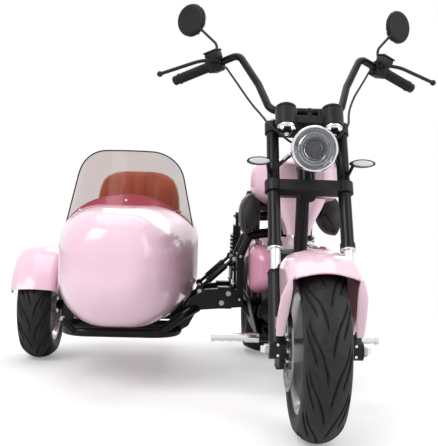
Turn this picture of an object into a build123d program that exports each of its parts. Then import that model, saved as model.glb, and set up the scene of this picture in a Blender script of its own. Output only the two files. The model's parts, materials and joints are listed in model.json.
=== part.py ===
"""Electric chopper with a sidecar on its right side, as an assembly of separate pieces.

Millimetres, +Z up, the motorcycle faces -Y and the sidecar is at -X. Points are written from the
motorcycle's mid-plane, its front axle and the ground, and at() carries them to the part's frame,
whose origin is under the middle of the whole outfit.
"""
from build123d import *
from math import cos, radians, sin, tan
import os

os.makedirs("parts", exist_ok=True)

# Driving sizes of the outfit
BIKE_X = 285.0
FRONT_Y = -739.0
WHEELBASE = 1400.0
RAKE = 25.0
SIDECAR_X = -590.0

# Wheels: radius over the tread, width over the walls, radius of the bead seat
FRONT_R, FRONT_W, FRONT_BEAD = 243.5, 120.0, 160.0
REAR_R, REAR_W, REAR_BEAD = 238.5, 212.0, 160.0
SIDE_R, SIDE_W, SIDE_BEAD = 218.0, 130.0, 135.0
SIDE_WHEEL_X, SIDE_WHEEL_Y = -958.0, 1150.0
AXLE_D = 20.0
RUNNING_GAP = 0.1

# Fork, measured along the steering axis from the front axle, and ahead of the fork tubes
FORK_X = 105.0
STEM_BEHIND = 40.0
STEM_D = 30.0
TUBE_D, STANCHION_D, SLIDER_D = 38.0, 30.0, 44.0
SLIDER_TOP, COVER_LOW, COVER_TOP = 215.0, 292.0, 712.0
LOWER_CLAMP_AT, UPPER_CLAMP_AT = 492.0, 692.0
CLAMP_T = 34.0
BRIDGE_D, STEM_BOSS_R = 42.0, 24.0
LOWER_BOSS_R, UPPER_BOSS_R = 27.0, 24.0

# Sidecar body
TUB_WALL = 6.0
BAND_TOP = 672.0
GLASS_T = 4.0
FENDER_T = 4.0


def at(x, y, z):
    """A point given from the mid-plane, the front axle and the ground."""
    return Vector(BIKE_X + x, FRONT_Y + y, z)


def fork(x, along, ahead=0.0):
    """A point given along the fork from the axle, and ahead of the fork tubes."""
    y = along * sin(radians(RAKE)) - ahead * cos(radians(RAKE))
    z = along * cos(radians(RAKE)) + ahead * sin(radians(RAKE))
    return at(x, y, FRONT_R + z)


def fork_plane(along, ahead=0.0, x=0.0):
    """The plane square to the fork, with its y pointing back."""
    lean = radians(RAKE)
    return Plane(origin=fork(x, along, ahead), x_dir=(1, 0, 0), z_dir=(0, sin(lean), cos(lean)))


def across(centre):
    """A wheel's section plane: x across the wheel, y up from its axle."""
    return Plane(origin=centre, x_dir=(1, 0, 0), z_dir=(0, -1, 0))


def beside(centre):
    """A wheel's side plane: x to the rear, y up, seen from +X."""
    return Plane(origin=centre, x_dir=(0, 1, 0), z_dir=(1, 0, 0))


def tube(points, diameter, bend=None):
    """A round tube or rod along straight runs joined by arcs of one bend radius."""
    with BuildLine(mode=Mode.PRIVATE) as path:
        if len(points) == 2:
            Line(points[0], points[1])
        else:
            FilletPolyline(*points, radius=bend)
    with BuildSketch(Plane(path.line ^ 0), mode=Mode.PRIVATE) as section:
        Circle(diameter / 2)
    sweep(section.sketch, path=path.line)


def ball(centre, diameter):
    """A round knob or end."""
    with Locations(centre):
        Sphere(diameter / 2)


def drill(start, end, diameter):
    """A round hole between two points."""
    plane = Plane(origin=start, z_dir=end - start)
    with BuildSketch(plane, mode=Mode.PRIVATE) as section:
        Circle(diameter / 2)
    extrude(section.sketch, amount=(end - start).length, mode=Mode.SUBTRACT)


def block(low, high, mode=Mode.ADD):
    """A square block between two corners."""
    size = high - low
    with Locations(low):
        Box(size.X, size.Y, size.Z, align=(Align.MIN, Align.MIN, Align.MIN), mode=mode)


def slab(plane, corners, thickness, both=True, mode=Mode.ADD):
    """A flat plate cut to an outline of straight sides on a plane."""
    with BuildSketch(plane, mode=Mode.PRIVATE) as outline:
        with BuildLine():
            Polyline(*corners, close=True)
        make_face()
    extrude(outline.sketch, amount=thickness / 2 if both else thickness, both=both, mode=mode)


def turned(centre, profile, mode=Mode.ADD):
    """A piece turned about a wheel's axle: the profile's corners are (across, radius)."""
    with BuildSketch(across(centre), mode=Mode.PRIVATE) as section:
        with BuildLine():
            Polyline(*profile, close=True)
        make_face()
    revolve(section.sketch, axis=Axis(centre, (1, 0, 0)), mode=mode)


def tyre(centre, radius, width, bead, crown):
    """A tyre whose crown rises so far above its shoulders, with beads that sit on the rim."""
    half = width / 2
    shoulder = radius - crown
    lip = bead + 10
    bulge = (shoulder + lip) / 2
    with BuildSketch(across(centre), mode=Mode.PRIVATE) as section:
        with BuildLine():
            ThreePointArc((-0.96 * half, shoulder), (0, radius), (0.96 * half, shoulder))
            ThreePointArc((0.96 * half, shoulder), (half, bulge), (0.86 * half, lip))
            Polyline((0.86 * half, lip), (0.76 * half, lip), (0.76 * half, bead), (-0.76 * half, bead),
                     (-0.76 * half, lip), (-0.86 * half, lip))
            ThreePointArc((-0.86 * half, lip), (-half, bulge), (-0.96 * half, shoulder))
        make_face()
    revolve(section.sketch, axis=Axis(centre, (1, 0, 0)))


def rim_ring(centre, width, bead):
    """The rim's well and its two flanges, which the tyre's beads lie against."""
    half = width / 2
    flange, seat, lip, well = 0.86 * half, 0.76 * half, bead + 10, bead - 14
    turned(centre, [(-flange, lip), (-seat, lip), (-seat, bead), (seat, bead), (seat, lip), (flange, lip),
                    (flange, bead - 5), (0.6 * half, well), (-0.6 * half, well), (-flange, bead - 5)])


def spokes(centre, count, hub_r, rim_r, root, tip, thickness):
    """Cast spokes that taper from the hub to the rim."""
    with BuildSketch(beside(centre), mode=Mode.PRIVATE) as outline:
        with PolarLocations(0, count):
            Polygon((hub_r, -root / 2), (rim_r, -tip / 2), (rim_r, tip / 2), (hub_r, root / 2), align=None)
    extrude(outline.sketch, amount=thickness / 2, both=True)


def drum(centre, diameter, x_from, x_to, mode=Mode.ADD):
    """A cylinder along X between two distances from a wheel's centre."""
    with BuildSketch(beside(centre + Vector(x_from, 0, 0)), mode=Mode.PRIVATE) as disc:
        Circle(diameter / 2)
    extrude(disc.sketch, amount=x_to - x_from, mode=mode)


def holes_round(centre, count, at_radius, diameter, x_from, x_to):
    """A ring of holes along X through a disc or a cover."""
    with BuildSketch(beside(centre + Vector(x_from, 0, 0)), mode=Mode.PRIVATE) as ring:
        with PolarLocations(at_radius, count):
            Circle(diameter / 2)
    extrude(ring.sketch, amount=x_to - x_from, mode=Mode.SUBTRACT)


def arch(centre, half, low, corner, peak, side_bend, crown_bend, back, front):
    """A fender over a wheel: its rounded section is swept from so far behind the top to so far ahead."""
    lean = radians(back)
    plane = Plane(origin=centre, x_dir=(1, 0, 0), z_dir=(0, -cos(lean), sin(lean)))
    with BuildSketch(plane, mode=Mode.PRIVATE) as section:
        with BuildLine():
            for inset in (0, FENDER_T):
                wall = half - inset
                FilletPolyline((-wall, low), (-wall, corner - inset), (0, peak - inset), (wall, corner - inset),
                               (wall, low), radius=[side_bend - inset, crown_bend - inset, side_bend - inset])
            for side in (-1, 1):
                Line((side * half, low), (side * (half - FENDER_T), low))
        make_face()
    revolve(section.sketch, axis=Axis(centre, (1, 0, 0)), revolution_arc=back + front)


def cut_by(*pieces):
    """Make room for pieces that are already there."""
    for piece in pieces:
        add(piece.part, mode=Mode.SUBTRACT)


def finish(piece, name):
    """Label a finished piece and write it."""
    piece.part.label = name
    export_step(piece.part, f"parts/{name}.step")


FRONT_AXLE = at(0, 0, FRONT_R)
REAR_AXLE = at(0, WHEELBASE, REAR_R)
SIDE_AXLE = at(SIDE_WHEEL_X, SIDE_WHEEL_Y, SIDE_R)
BORE_D = AXLE_D + 2 * RUNNING_GAP

# Front wheel
DISC_X, DISC_T, DISC_D = -78.0, 4.0, 224.0

with BuildPart() as front_tyre:
    tyre(FRONT_AXLE, FRONT_R, FRONT_W, FRONT_BEAD, 30)
finish(front_tyre, "front_tyre")

with BuildPart() as front_rim:
    rim_ring(FRONT_AXLE, FRONT_W, FRONT_BEAD)
    drum(FRONT_AXLE, 70, DISC_X + DISC_T, 64)
    spokes(FRONT_AXLE, 5, 28, FRONT_BEAD - 10, 46, 28, 30)
    drum(FRONT_AXLE, BORE_D, -120, 120, mode=Mode.SUBTRACT)
finish(front_rim, "front_rim")

with BuildPart() as front_disc:
    turned(FRONT_AXLE, [(DISC_X, 22), (DISC_X, DISC_D / 2), (DISC_X + DISC_T, DISC_D / 2), (DISC_X + DISC_T, 22)])
    holes_round(FRONT_AXLE, 18, 98, 11, DISC_X - 1, DISC_X + DISC_T + 1)
    holes_round(FRONT_AXLE, 6, 62, 30, DISC_X - 1, DISC_X + DISC_T + 1)
finish(front_disc, "front_disc")

# Rear wheel with its hub motor
with BuildPart() as rear_tyre:
    tyre(REAR_AXLE, REAR_R, REAR_W, REAR_BEAD, 26)
finish(rear_tyre, "rear_tyre")

with BuildPart() as rear_hub_motor:
    rim_ring(REAR_AXLE, REAR_W, REAR_BEAD)
    turned(REAR_AXLE, [(-26, 100), (-26, 150), (26, 150), (26, 100)])
    turned(REAR_AXLE, [(-70, 12), (-70, 92), (-58, 112), (58, 112), (70, 92), (70, 12)])
    drum(REAR_AXLE, 56, -96, 96)
    turned(REAR_AXLE, [(-90, 24), (-90, 100), (-86, 100), (-86, 24)])
    holes_round(REAR_AXLE, 18, 88, 10, -91, -85)
    drum(REAR_AXLE, BORE_D, -120, 120, mode=Mode.SUBTRACT)
finish(rear_hub_motor, "rear_hub_motor")

# Sidecar wheel
with BuildPart() as sidecar_tyre:
    tyre(SIDE_AXLE, SIDE_R, SIDE_W, SIDE_BEAD, 30)
finish(sidecar_tyre, "sidecar_tyre")

with BuildPart() as sidecar_rim:
    rim_ring(SIDE_AXLE, SIDE_W, SIDE_BEAD)
    drum(SIDE_AXLE, 66, -52, 62)
    spokes(SIDE_AXLE, 5, 26, SIDE_BEAD - 10, 42, 26, 28)
    drum(SIDE_AXLE, BORE_D, -120, 120, mode=Mode.SUBTRACT)
finish(sidecar_rim, "sidecar_rim")

# Front axle and fork legs
with BuildPart() as front_axle:
    drum(FRONT_AXLE, AXLE_D, -130, 130)
    for side in (-1, 1):
        drum(FRONT_AXLE, 32, side * 126, side * 138)
finish(front_axle, "front_axle")

with BuildPart() as fork_stanchions:
    for side in (-1, 1):
        tube([fork(side * FORK_X, 140), fork(side * FORK_X, COVER_LOW)], STANCHION_D)
finish(fork_stanchions, "fork_stanchions")

with BuildPart() as fork_tubes:
    for side in (-1, 1):
        tube([fork(side * FORK_X, COVER_LOW), fork(side * FORK_X, COVER_TOP)], TUBE_D)
        tube([fork(side * FORK_X, COVER_LOW), fork(side * FORK_X, COVER_LOW + 22)], TUBE_D + 6)
finish(fork_tubes, "fork_tubes")

with BuildPart() as fork_sliders:
    for side in (-1, 1):
        tube([fork(side * FORK_X, -14), fork(side * FORK_X, SLIDER_TOP)], SLIDER_D)
        drum(FRONT_AXLE + Vector(side * FORK_X, 0, 0), 52, -22, 22)
    cut_by(front_axle, fork_stanchions)
finish(fork_sliders, "fork_sliders")


def clamp(along, boss_r):
    """A fork clamp: a straight bridge with a boss round each tube and a smaller one round the stem."""
    with BuildSketch(fork_plane(along - CLAMP_T / 2), mode=Mode.PRIVATE) as outline:
        Rectangle(2 * FORK_X, BRIDGE_D)
        with Locations((-FORK_X, 0), (FORK_X, 0)):
            Circle(boss_r)
        with Locations((0, STEM_BEHIND)):
            Circle(STEM_BOSS_R)
        with Locations((0, STEM_BEHIND / 2)):
            Rectangle(2 * STEM_BOSS_R, STEM_BEHIND)
    extrude(outline.sketch, amount=CLAMP_T)
    cut_by(fork_tubes)


with BuildPart() as lower_clamp:
    clamp(LOWER_CLAMP_AT, LOWER_BOSS_R)
    tube([fork(0, LOWER_CLAMP_AT, -STEM_BEHIND), fork(0, UPPER_CLAMP_AT + 28, -STEM_BEHIND)], STEM_D)
finish(lower_clamp, "lower_clamp")

with BuildPart() as upper_clamp:
    clamp(UPPER_CLAMP_AT, UPPER_BOSS_R)
    cut_by(lower_clamp)
finish(upper_clamp, "upper_clamp")

# Handlebar on two risers, with grips, levers and mirrors
BAR_D = 25.0
BAR_HALF = [(398, 630, 1077), (203, 500, 1139), (142, 410, 1026), (109, 330, 931)]
bar_points = [at(-x, y, z) for x, y, z in BAR_HALF] + [at(x, y, z) for x, y, z in reversed(BAR_HALF)]
bar_end, bar_bend = at(*BAR_HALF[0]), at(*BAR_HALF[1])
grip_dir = (bar_end - bar_bend).normalized()
grip_in = bar_end - grip_dir * 122
control_in = grip_in - grip_dir * 52


def mirrored():
    """Repeat what is on the left side of the motorcycle, at +X, on its right side."""
    mirror(about=Plane.YZ.offset(BIKE_X))


with BuildPart() as handlebar:
    tube(bar_points, BAR_D, bend=42)
    for side in (-1, 1):
        tube([fork(side * 48, UPPER_CLAMP_AT + CLAMP_T / 2, -10), at(side * 48, 330, 931)], 30)
    cut_by(upper_clamp)
finish(handlebar, "handlebar")

with BuildPart() as grips:
    tube([grip_in, bar_end + grip_dir * 8], 34)
    mirrored()
    cut_by(handlebar)
finish(grips, "grips")

with BuildPart() as control_blocks:
    tube([control_in, grip_in - grip_dir * 1], 42)
    mirrored()
    cut_by(handlebar)
finish(control_blocks, "control_blocks")

lever_tip = at(467, 552, 1076)
lever_pivot = control_in + Vector(14, -30, 0)
with BuildPart() as levers:
    tube([lever_pivot, lever_pivot + Vector(60, -22, -10), lever_tip], 12, bend=60)
    ball(lever_tip, 20)
    tube([control_in + grip_dir * 10, lever_pivot], 16)
    mirrored()
    cut_by(control_blocks, handlebar)
finish(levers, "levers")

MIRROR_YAW = 34.0
MIRROR_D, MIRROR_T = 115.0, 18.0
mirror_at = at(367, 650, 1287)
mirror_dir = Vector(sin(radians(MIRROR_YAW)), -cos(radians(MIRROR_YAW)), 0)
stalk_foot = control_in + grip_dir * 30
with BuildPart() as mirrors:
    with BuildSketch(Plane(origin=mirror_at - mirror_dir * MIRROR_T / 2, z_dir=mirror_dir), mode=Mode.PRIVATE) as face:
        Circle(MIRROR_D / 2)
    extrude(face.sketch, amount=MIRROR_T)
    fillet(faces().sort_by(Axis(mirror_at, mirror_dir))[-1].edges(), 12)
    tube([stalk_foot, stalk_foot + Vector(-8, 12, 70), mirror_at], 9, bend=40)
    mirrored()
    cut_by(control_blocks, handlebar)
finish(mirrors, "mirrors")

# Instruments, headlight and indicators
POD_X, POD_AHEAD = 70.0, 62.0
POD_STEPS = [(650, 656, 40), (656, 664, 56), (664, 720, 66), (720, 727, 60)]
with BuildPart() as gauge_pods:
    for side in (-1, 1):
        for start, end, diameter in POD_STEPS:
            tube([fork(side * POD_X, start, POD_AHEAD), fork(side * POD_X, end, POD_AHEAD)], diameter)
        slab(fork_plane(668, 0, side * POD_X), [(-16, -POD_AHEAD), (16, -POD_AHEAD), (16, -20), (-16, -20)], 8)
        tube([fork(side * POD_X, 636, POD_AHEAD), fork(side * POD_X, 650, POD_AHEAD)], 12)
    slab(fork_plane(684, POD_AHEAD), [(-45, -12), (45, -12), (45, 12), (-45, 12)], 22)
    tube([fork(0, 690, POD_AHEAD + 4), fork(0, 712, POD_AHEAD + 4)], 14)
    cut_by(upper_clamp, fork_tubes, handlebar)
finish(gauge_pods, "gauge_pods")

LAMP_Y, LAMP_Z, LAMP_R = 114.0, 797.0, 66.0
lamp_front = at(0, LAMP_Y, LAMP_Z)
lamp_section = Plane(origin=lamp_front, x_dir=(1, 0, 0), z_dir=(0, 0, 1))
with BuildPart() as headlight:
    with BuildSketch(lamp_section, mode=Mode.PRIVATE) as shell:
        with BuildLine():
            Polyline((0, 92), (38, 92))
            ThreePointArc((38, 92), (LAMP_R - 8, 62), (LAMP_R - 3, 26))
            Polyline((LAMP_R - 3, 26), (LAMP_R, 24), (LAMP_R, 0), (LAMP_R - 4, -4), (LAMP_R - 9, 0), (LAMP_R - 9, 20),
                     (0, 20), (0, 92))
        make_face()
    revolve(shell.sketch, axis=Axis(lamp_front, (0, 1, 0)))
    for side in (-1, 1):
        tube([at(side * 60, LAMP_Y + 45, LAMP_Z - 10), fork(side * 86, 566, 4)], 14)
    cut_by(fork_tubes)
finish(headlight, "headlight")

with BuildPart() as headlight_lens:
    with BuildSketch(lamp_section, mode=Mode.PRIVATE) as lens:
        with BuildLine():
            ThreePointArc((0, -6), (30, -4), (LAMP_R - 9, 2))
            Polyline((LAMP_R - 9, 2), (LAMP_R - 9, 8), (0, 8), (0, -6))
        make_face()
    revolve(lens.sketch, axis=Axis(lamp_front, (0, 1, 0)))
finish(headlight_lens, "headlight_lens")

INDICATOR = at(122, 185, 764)
with BuildPart() as front_indicators:
    with BuildSketch(Plane(origin=INDICATOR, x_dir=(1, 0, 0), z_dir=(0, -1, 0)), mode=Mode.PRIVATE) as leaf:
        with Locations((30, 0)):
            Ellipse(36, 12)
    extrude(leaf.sketch, amount=14, both=True)
    tube([INDICATOR + Vector(6, 0, 0), fork(118, 534, 4)], 10)
    mirrored()
    cut_by(fork_tubes, headlight)
finish(front_indicators, "front_indicators")

# Cables from the control blocks into the lamp
CABLE_D = 7.0
CABLE_ROUTES = [
    [(-243, 572, 1110), (-229, 545, 1085), (-202, 490, 1035), (-165, 410, 965), (-136, 310, 912), (-120, 238, 876),
     (-78, 206, 838), (-56, 220, 824), (-25, 200, 812)],
    [(252, 578, 1112), (236, 540, 1090), (200, 462, 1041), (160, 380, 988), (130, 300, 930), (120, 240, 880),
     (80, 206, 840), (54, 220, 824), (25, 200, 812)],
]


def cable(route, diameter):
    """A held cable along its route, with each bend as large as its two runs allow."""
    runs = [end - start for start, end in zip(route, route[1:])]
    radii = []
    for before, after in zip(runs, runs[1:]):
        half_turn = radians(before.get_angle(after)) / 2
        radii.append(0.45 * min(before.length, after.length) / tan(half_turn))
    with BuildLine(mode=Mode.PRIVATE) as path:
        FilletPolyline(*route, radius=radii)
    with BuildSketch(Plane(path.line ^ 0), mode=Mode.PRIVATE) as section:
        Circle(diameter / 2)
    sweep(section.sketch, path=path.line)


with BuildPart() as control_cables:
    for route in CABLE_ROUTES:
        cable([at(*point) for point in route], CABLE_D)
    cut_by(control_blocks, grips, handlebar, headlight, fork_tubes, gauge_pods)
finish(control_cables, "control_cables")

# Front fender: a narrow arch between the fork legs under a wide hood ahead of them
def side_of_fork(along, ahead):
    """A point in the side view, as its distance behind the axle and its height."""
    point = fork(0, along, ahead)
    return (point.Y - FRONT_Y, point.Z)


HOOD_FRONT_CUT = [(-400, 520), (-166, 500), (-120, 400), (-80, 330), (-64, 285), (100, 285), (100, 0), (-400, 0)]
HOOD_REAR_CUT = [side_of_fork(-300, 26), side_of_fork(420, 26), side_of_fork(420, -300), side_of_fork(-300, -300)]
with BuildPart() as front_fender:
    arch(FRONT_AXLE, 97, 60, 252, 279, side_bend=42, crown_bend=150, back=62, front=36)
    for side in (-1, 1):
        skirt = beside(at(side * 109, 0, 0))
        slab(skirt, HOOD_FRONT_CUT, 60, mode=Mode.SUBTRACT)
        slab(skirt, HOOD_REAR_CUT, 60, mode=Mode.SUBTRACT)
        block(at(side * 102 - 9, -40, 300), at(side * 102 + 9, 10, 330))
    cut_by(fork_sliders)
finish(front_fender, "front_fender")

with BuildPart() as brake_caliper:
    block(at(-98, 66, 176), at(-57, 122, 256))
    block(at(-84, 50, 150), at(-68, 116, 300), mode=Mode.SUBTRACT)
    block(at(-98, 0, 190), at(-84, 70, 228))
    cut_by(fork_sliders)
finish(brake_caliper, "brake_caliper")

# Rear fender
REAR_FENDER_R = 320.0
with BuildPart() as rear_fender:
    arch(REAR_AXLE, 125, 250, 304, REAR_FENDER_R + 2, side_bend=45, crown_bend=200, back=68, front=48)
finish(rear_fender, "rear_fender")

# Main frame: headstock, backbone and down tube
PEG_Z = 208.0
with BuildPart() as main_frame:
    tube([fork(0, LOWER_CLAMP_AT + 24, -STEM_BEHIND), fork(0, UPPER_CLAMP_AT - 24, -STEM_BEHIND)], 56)
    tube([at(0, 285, 750), at(0, 330, 690), at(0, 352, 520), at(0, 400, 320), at(0, 452, 205)], 42, bend=90)
    tube([at(0, 300, 790), at(0, 520, 650), at(0, 820, 605)], 42, bend=200)
    tube([at(0, 740, 612), at(0, 740, 545)], 24)
    drill(fork(0, LOWER_CLAMP_AT, -STEM_BEHIND), fork(0, UPPER_CLAMP_AT, -STEM_BEHIND), STEM_D + 2 * RUNNING_GAP)
finish(main_frame, "main_frame")

# Cradle under the battery, with the bar that carries the foot pegs
CRADLE_X, CRADLE_Z = 85.0, 190.0
with BuildPart() as frame_cradle:
    for side in (-1, 1):
        tube([at(0, 445, 210), at(side * CRADLE_X, 540, CRADLE_Z), at(side * CRADLE_X, 980, CRADLE_Z),
              at(side * CRADLE_X, 1060, 300), at(side * CRADLE_X, 1080, 612)], 30, bend=50)
    tube([at(-118, 430, PEG_Z), at(118, 430, PEG_Z)], 26)
    tube([at(-CRADLE_X, 960, CRADLE_Z), at(CRADLE_X, 960, CRADLE_Z)], 28)
    cut_by(main_frame)
finish(frame_cradle, "frame_cradle")

# Seat rails with the shock mounts and the fender's struts
SEAT_RAIL_X = 95.0
SHOCK_LOW, SHOCK_TOP = (1310, 275), (1230, 606)
SHOCK_EYE_IN, SHOCK_EYE_W = 145.0, 18.0
with BuildPart() as seat_rails:
    for side in (-1, 1):
        tube([at(0, 800, 608), at(side * SEAT_RAIL_X, 860, 600), at(side * SEAT_RAIL_X, 1390, 640)], 28, bend=50)
        drum(at(0, *SHOCK_TOP), 20, side * 90, side * SHOCK_EYE_IN)
        tube([at(side * SEAT_RAIL_X, 1330, 636), at(side * SEAT_RAIL_X, 1330, 538)], 16)
    tube([at(-SEAT_RAIL_X, 1000, 611), at(SEAT_RAIL_X, 1000, 611)], 26)
    tube([at(0, 1000, 611), at(0, 1000, 545)], 24)
    cut_by(main_frame, frame_cradle, rear_fender)
finish(seat_rails, "seat_rails")

# Rear suspension and rear axle
with BuildPart() as rear_axle:
    drum(REAR_AXLE, AXLE_D, -152, 152)
    for side in (-1, 1):
        drum(REAR_AXLE, 34, side * 148, side * 160)
finish(rear_axle, "rear_axle")

with BuildPart() as swingarm:
    for side in (-1, 1):
        tube([at(side * 100, 1012, 262), at(side * 134, 1100, 255), at(side * 134, 1410, REAR_R)], 32, bend=60)
        block(REAR_AXLE + Vector(side * 134 - 8, -34, -26), REAR_AXLE + Vector(side * 134 + 8, 40, 26))
        block(at(side * 138 - 6, 1290, 245), at(side * 138 + 6, 1330, 290))
    tube([at(-112, 1016, 262), at(112, 1016, 262)], 36)
    cut_by(rear_axle, frame_cradle)
finish(swingarm, "swingarm")

SPRING_TURNS, SPRING_PITCH, SPRING_WIRE, SPRING_D = 11, 17.0, 9.0, 56.0
with BuildPart() as rear_shocks:
    for side in (-1, 1):
        low, top = (at(side * (SHOCK_EYE_IN + SHOCK_EYE_W / 2), *end) for end in (SHOCK_LOW, SHOCK_TOP))
        lean = (top - low).normalized()
        tube([low, top], 14)
        tube([low + lean * 60, top - lean * 40], 34)
        for turn in range(SPRING_TURNS):
            start = low + lean * (78 + turn * SPRING_PITCH)
            tube([start, start + lean * SPRING_WIRE], SPRING_D)
        drum(low, 30, -SHOCK_EYE_W / 2, SHOCK_EYE_W / 2)
        drum(top, 30, -SHOCK_EYE_W / 2, SHOCK_EYE_W / 2)
    cut_by(swingarm)
finish(rear_shocks, "rear_shocks")


# The sidecar's lower stays run from plates outside the belly pan to the cradle
ARM_STATIONS = [740, 1000]
STAY_D = 28.0


def stay_ends(y):
    """The two ends of a lower stay at one arm's station."""
    return [(-166, y, 300), (-CRADLE_X, y, 200)]


# Battery: one plain block in the cradle
with BuildPart() as battery_block:
    block(at(-66, 500, 215), at(66, 950, 480))
    cut_by(main_frame, frame_cradle)
finish(battery_block, "battery_block")

# Body covers
COVER_IN = 67.0
COVER_SECTIONS = [
    # y, outer face, low, high
    (515, 106, 390, 460),
    (545, 134, 350, 492),
    (620, 142, 333, 505),
    (800, 130, 331, 508),
    (960, 116, 342, 505),
    (1005, 98, 385, 470),
]
with BuildPart() as side_covers:
    panels = []
    for y, outer, low, high in COVER_SECTIONS:
        middle = Plane(origin=at((COVER_IN + outer) / 2, y, (low + high) / 2), x_dir=(1, 0, 0), z_dir=(0, -1, 0))
        with BuildSketch(middle, mode=Mode.PRIVATE) as panel:
            RectangleRounded(outer - COVER_IN, high - low, 0.42 * (outer - COVER_IN))
        panels.append(panel.sketch)
    loft(panels)
    mirrored()
    cut_by(main_frame, frame_cradle, seat_rails)
finish(side_covers, "side_covers")

TANK_SECTIONS = [
    # y, half width, low, high
    (352, 70, 690, 770),
    (400, 136, 668, 788),
    (480, 155, 658, 792),
    (600, 138, 650, 772),
    (700, 92, 644, 715),
]
KEEL_SECTIONS = [
    # z, half width, y from, y to
    (664, 87, 384, 640),
    (628, 72, 384, 610),
    (595, 54, 386, 575),
    (545, 38, 390, 530),
]
with BuildPart() as tank_cover:
    shells = []
    for y, half, low, high in TANK_SECTIONS:
        with BuildSketch(across(at(0, y, (low + high) / 2)), mode=Mode.PRIVATE) as shell:
            RectangleRounded(2 * half, high - low, (high - low) * 0.42)
        shells.append(shell.sketch)
    loft(shells)
    keels = []
    for z, half, y_from, y_to in KEEL_SECTIONS:
        with BuildSketch(Plane(origin=at(0, (y_from + y_to) / 2, z)), mode=Mode.PRIVATE) as keel:
            RectangleRounded(2 * half, y_to - y_from, half * 0.5)
        keels.append(keel.sketch)
    loft(keels)
    cut_by(main_frame, seat_rails)
finish(tank_cover, "tank_cover")

with BuildPart() as belly_pan:
    for sign in (-1, 1):
        half_section = [(0, 164), (sign * 84, 164), (sign * 114, 188), (sign * 153, 334), (sign * 149, 334),
                        (sign * 111, 191), (sign * 82, 168), (0, 168)]
        slab(across(at(0, 470, 0)), half_section, -500, both=False)
    for y in ARM_STATIONS:
        drill(*[at(*end) for end in stay_ends(y)], STAY_D)
    cut_by(main_frame, frame_cradle)
finish(belly_pan, "belly_pan")

SADDLE_SECTIONS = [
    # y, half width, low, high
    (640, 96, 640, 704),
    (740, 150, 624, 716),
    (900, 146, 620, 690),
    (1040, 126, 630, 688),
    (1220, 104, 650, 712),
    (1400, 80, 672, 742),
]
FLAP = [(118, 690), (150, 676), (172, 641), (174, 584), (157, 545), (126, 566), (108, 610)]
with BuildPart() as saddle:
    pads = []
    for y, half, low, high in SADDLE_SECTIONS:
        with BuildSketch(across(at(0, y, (low + high) / 2)), mode=Mode.PRIVATE) as pad:
            RectangleRounded(2 * half, high - low, (high - low) * 0.4)
        pads.append(pad.sketch)
    loft(pads)
    for side in (-1, 1):
        slab(across(at(0, 610, 0)), [(side * x, z) for x, z in FLAP], -170, both=False)
    cut_by(main_frame, seat_rails, tank_cover)
finish(saddle, "saddle")

# Chrome foot pegs
PEG_END = 273.0
PEG_COLLARS = [(118, 46, 32), (176, 14, 28), (204, 14, 28), (232, 14, 28), (262, 11, 30)]
with BuildPart() as foot_pegs:
    tube([at(118, 430, PEG_Z), at(PEG_END, 430, PEG_Z)], 24)
    for x, width, diameter in PEG_COLLARS:
        tube([at(x, 430, PEG_Z), at(x + width, 430, PEG_Z)], diameter)
    mirrored()
    cut_by(frame_cradle, belly_pan)
finish(foot_pegs, "foot_pegs")

# Sidecar body: sections along it, each a rounded box
TUB_FRONT, TUB_BACK = 330, 1600
TUB_SECTIONS = [
    # y, half width, floor, deck, radius below, radius above
    (TUB_FRONT, 46, 385, 470, 38, 38),
    (342, 98, 338, 540, 85, 85),
    (375, 142, 292, 580, 124, 114),
    (430, 172, 250, 604, 150, 138),
    (520, 197, 220, 618, 165, 150),
    (700, 227, 204, 628, 165, 155),
    (900, 258, 204, 637, 165, 150),
    (1100, 270, 204, 640, 165, 140),
    (1300, 264, 206, 636, 160, 125),
    (1480, 232, 232, 618, 140, 108),
    (1570, 172, 300, 578, 110, 92),
    (TUB_BACK, 110, 352, 524, 70, 70),
]


def tub_form(grow):
    """The sidecar body's form, grown outwards or inwards by an even amount."""
    faces = []
    for y, half, low, high, below, above in TUB_SECTIONS:
        middle, height = (low + high) / 2, high - low + 2 * grow
        shift = {TUB_FRONT: -grow, TUB_BACK: grow}.get(y, 0)
        with BuildSketch(across(at(SIDECAR_X, y + shift, middle)), mode=Mode.PRIVATE) as section:
            Rectangle(2 * (half + grow), height)
            fillet(section.vertices().group_by(Axis.Y)[0], below + grow)
            fillet(section.vertices().group_by(Axis.Y)[-1], above + grow)
        faces.append(section.sketch)
    loft(faces)


with BuildPart() as tub_outside:
    tub_form(0)

with BuildPart() as tub_inside:
    tub_form(-TUB_WALL)

# The shelf and riser that carry the seat inside it
SEAT_Z, SEAT_FRONT = 300.0, 950.0
with BuildPart() as seat_shelf:
    block(at(SIDECAR_X - 280, SEAT_FRONT, SEAT_Z - 6), at(SIDECAR_X + 280, 1440, SEAT_Z))
    block(at(SIDECAR_X - 280, SEAT_FRONT, 200), at(SIDECAR_X + 280, SEAT_FRONT + 6, SEAT_Z))
    add(tub_outside.part, mode=Mode.INTERSECT)

COCKPIT_Y, COCKPIT_W, COCKPIT_L = 1125.0, 400.0, 640.0
with BuildPart() as sidecar_tub:
    add(tub_outside.part)
    cut_by(tub_inside)
    with BuildSketch(Plane(origin=at(SIDECAR_X, COCKPIT_Y, 560)), mode=Mode.PRIVATE) as cockpit:
        RectangleRounded(COCKPIT_W, COCKPIT_L, 120)
    extrude(cockpit.sketch, amount=200, mode=Mode.SUBTRACT)
    add(seat_shelf.part)
finish(sidecar_tub, "sidecar_tub")

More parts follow.
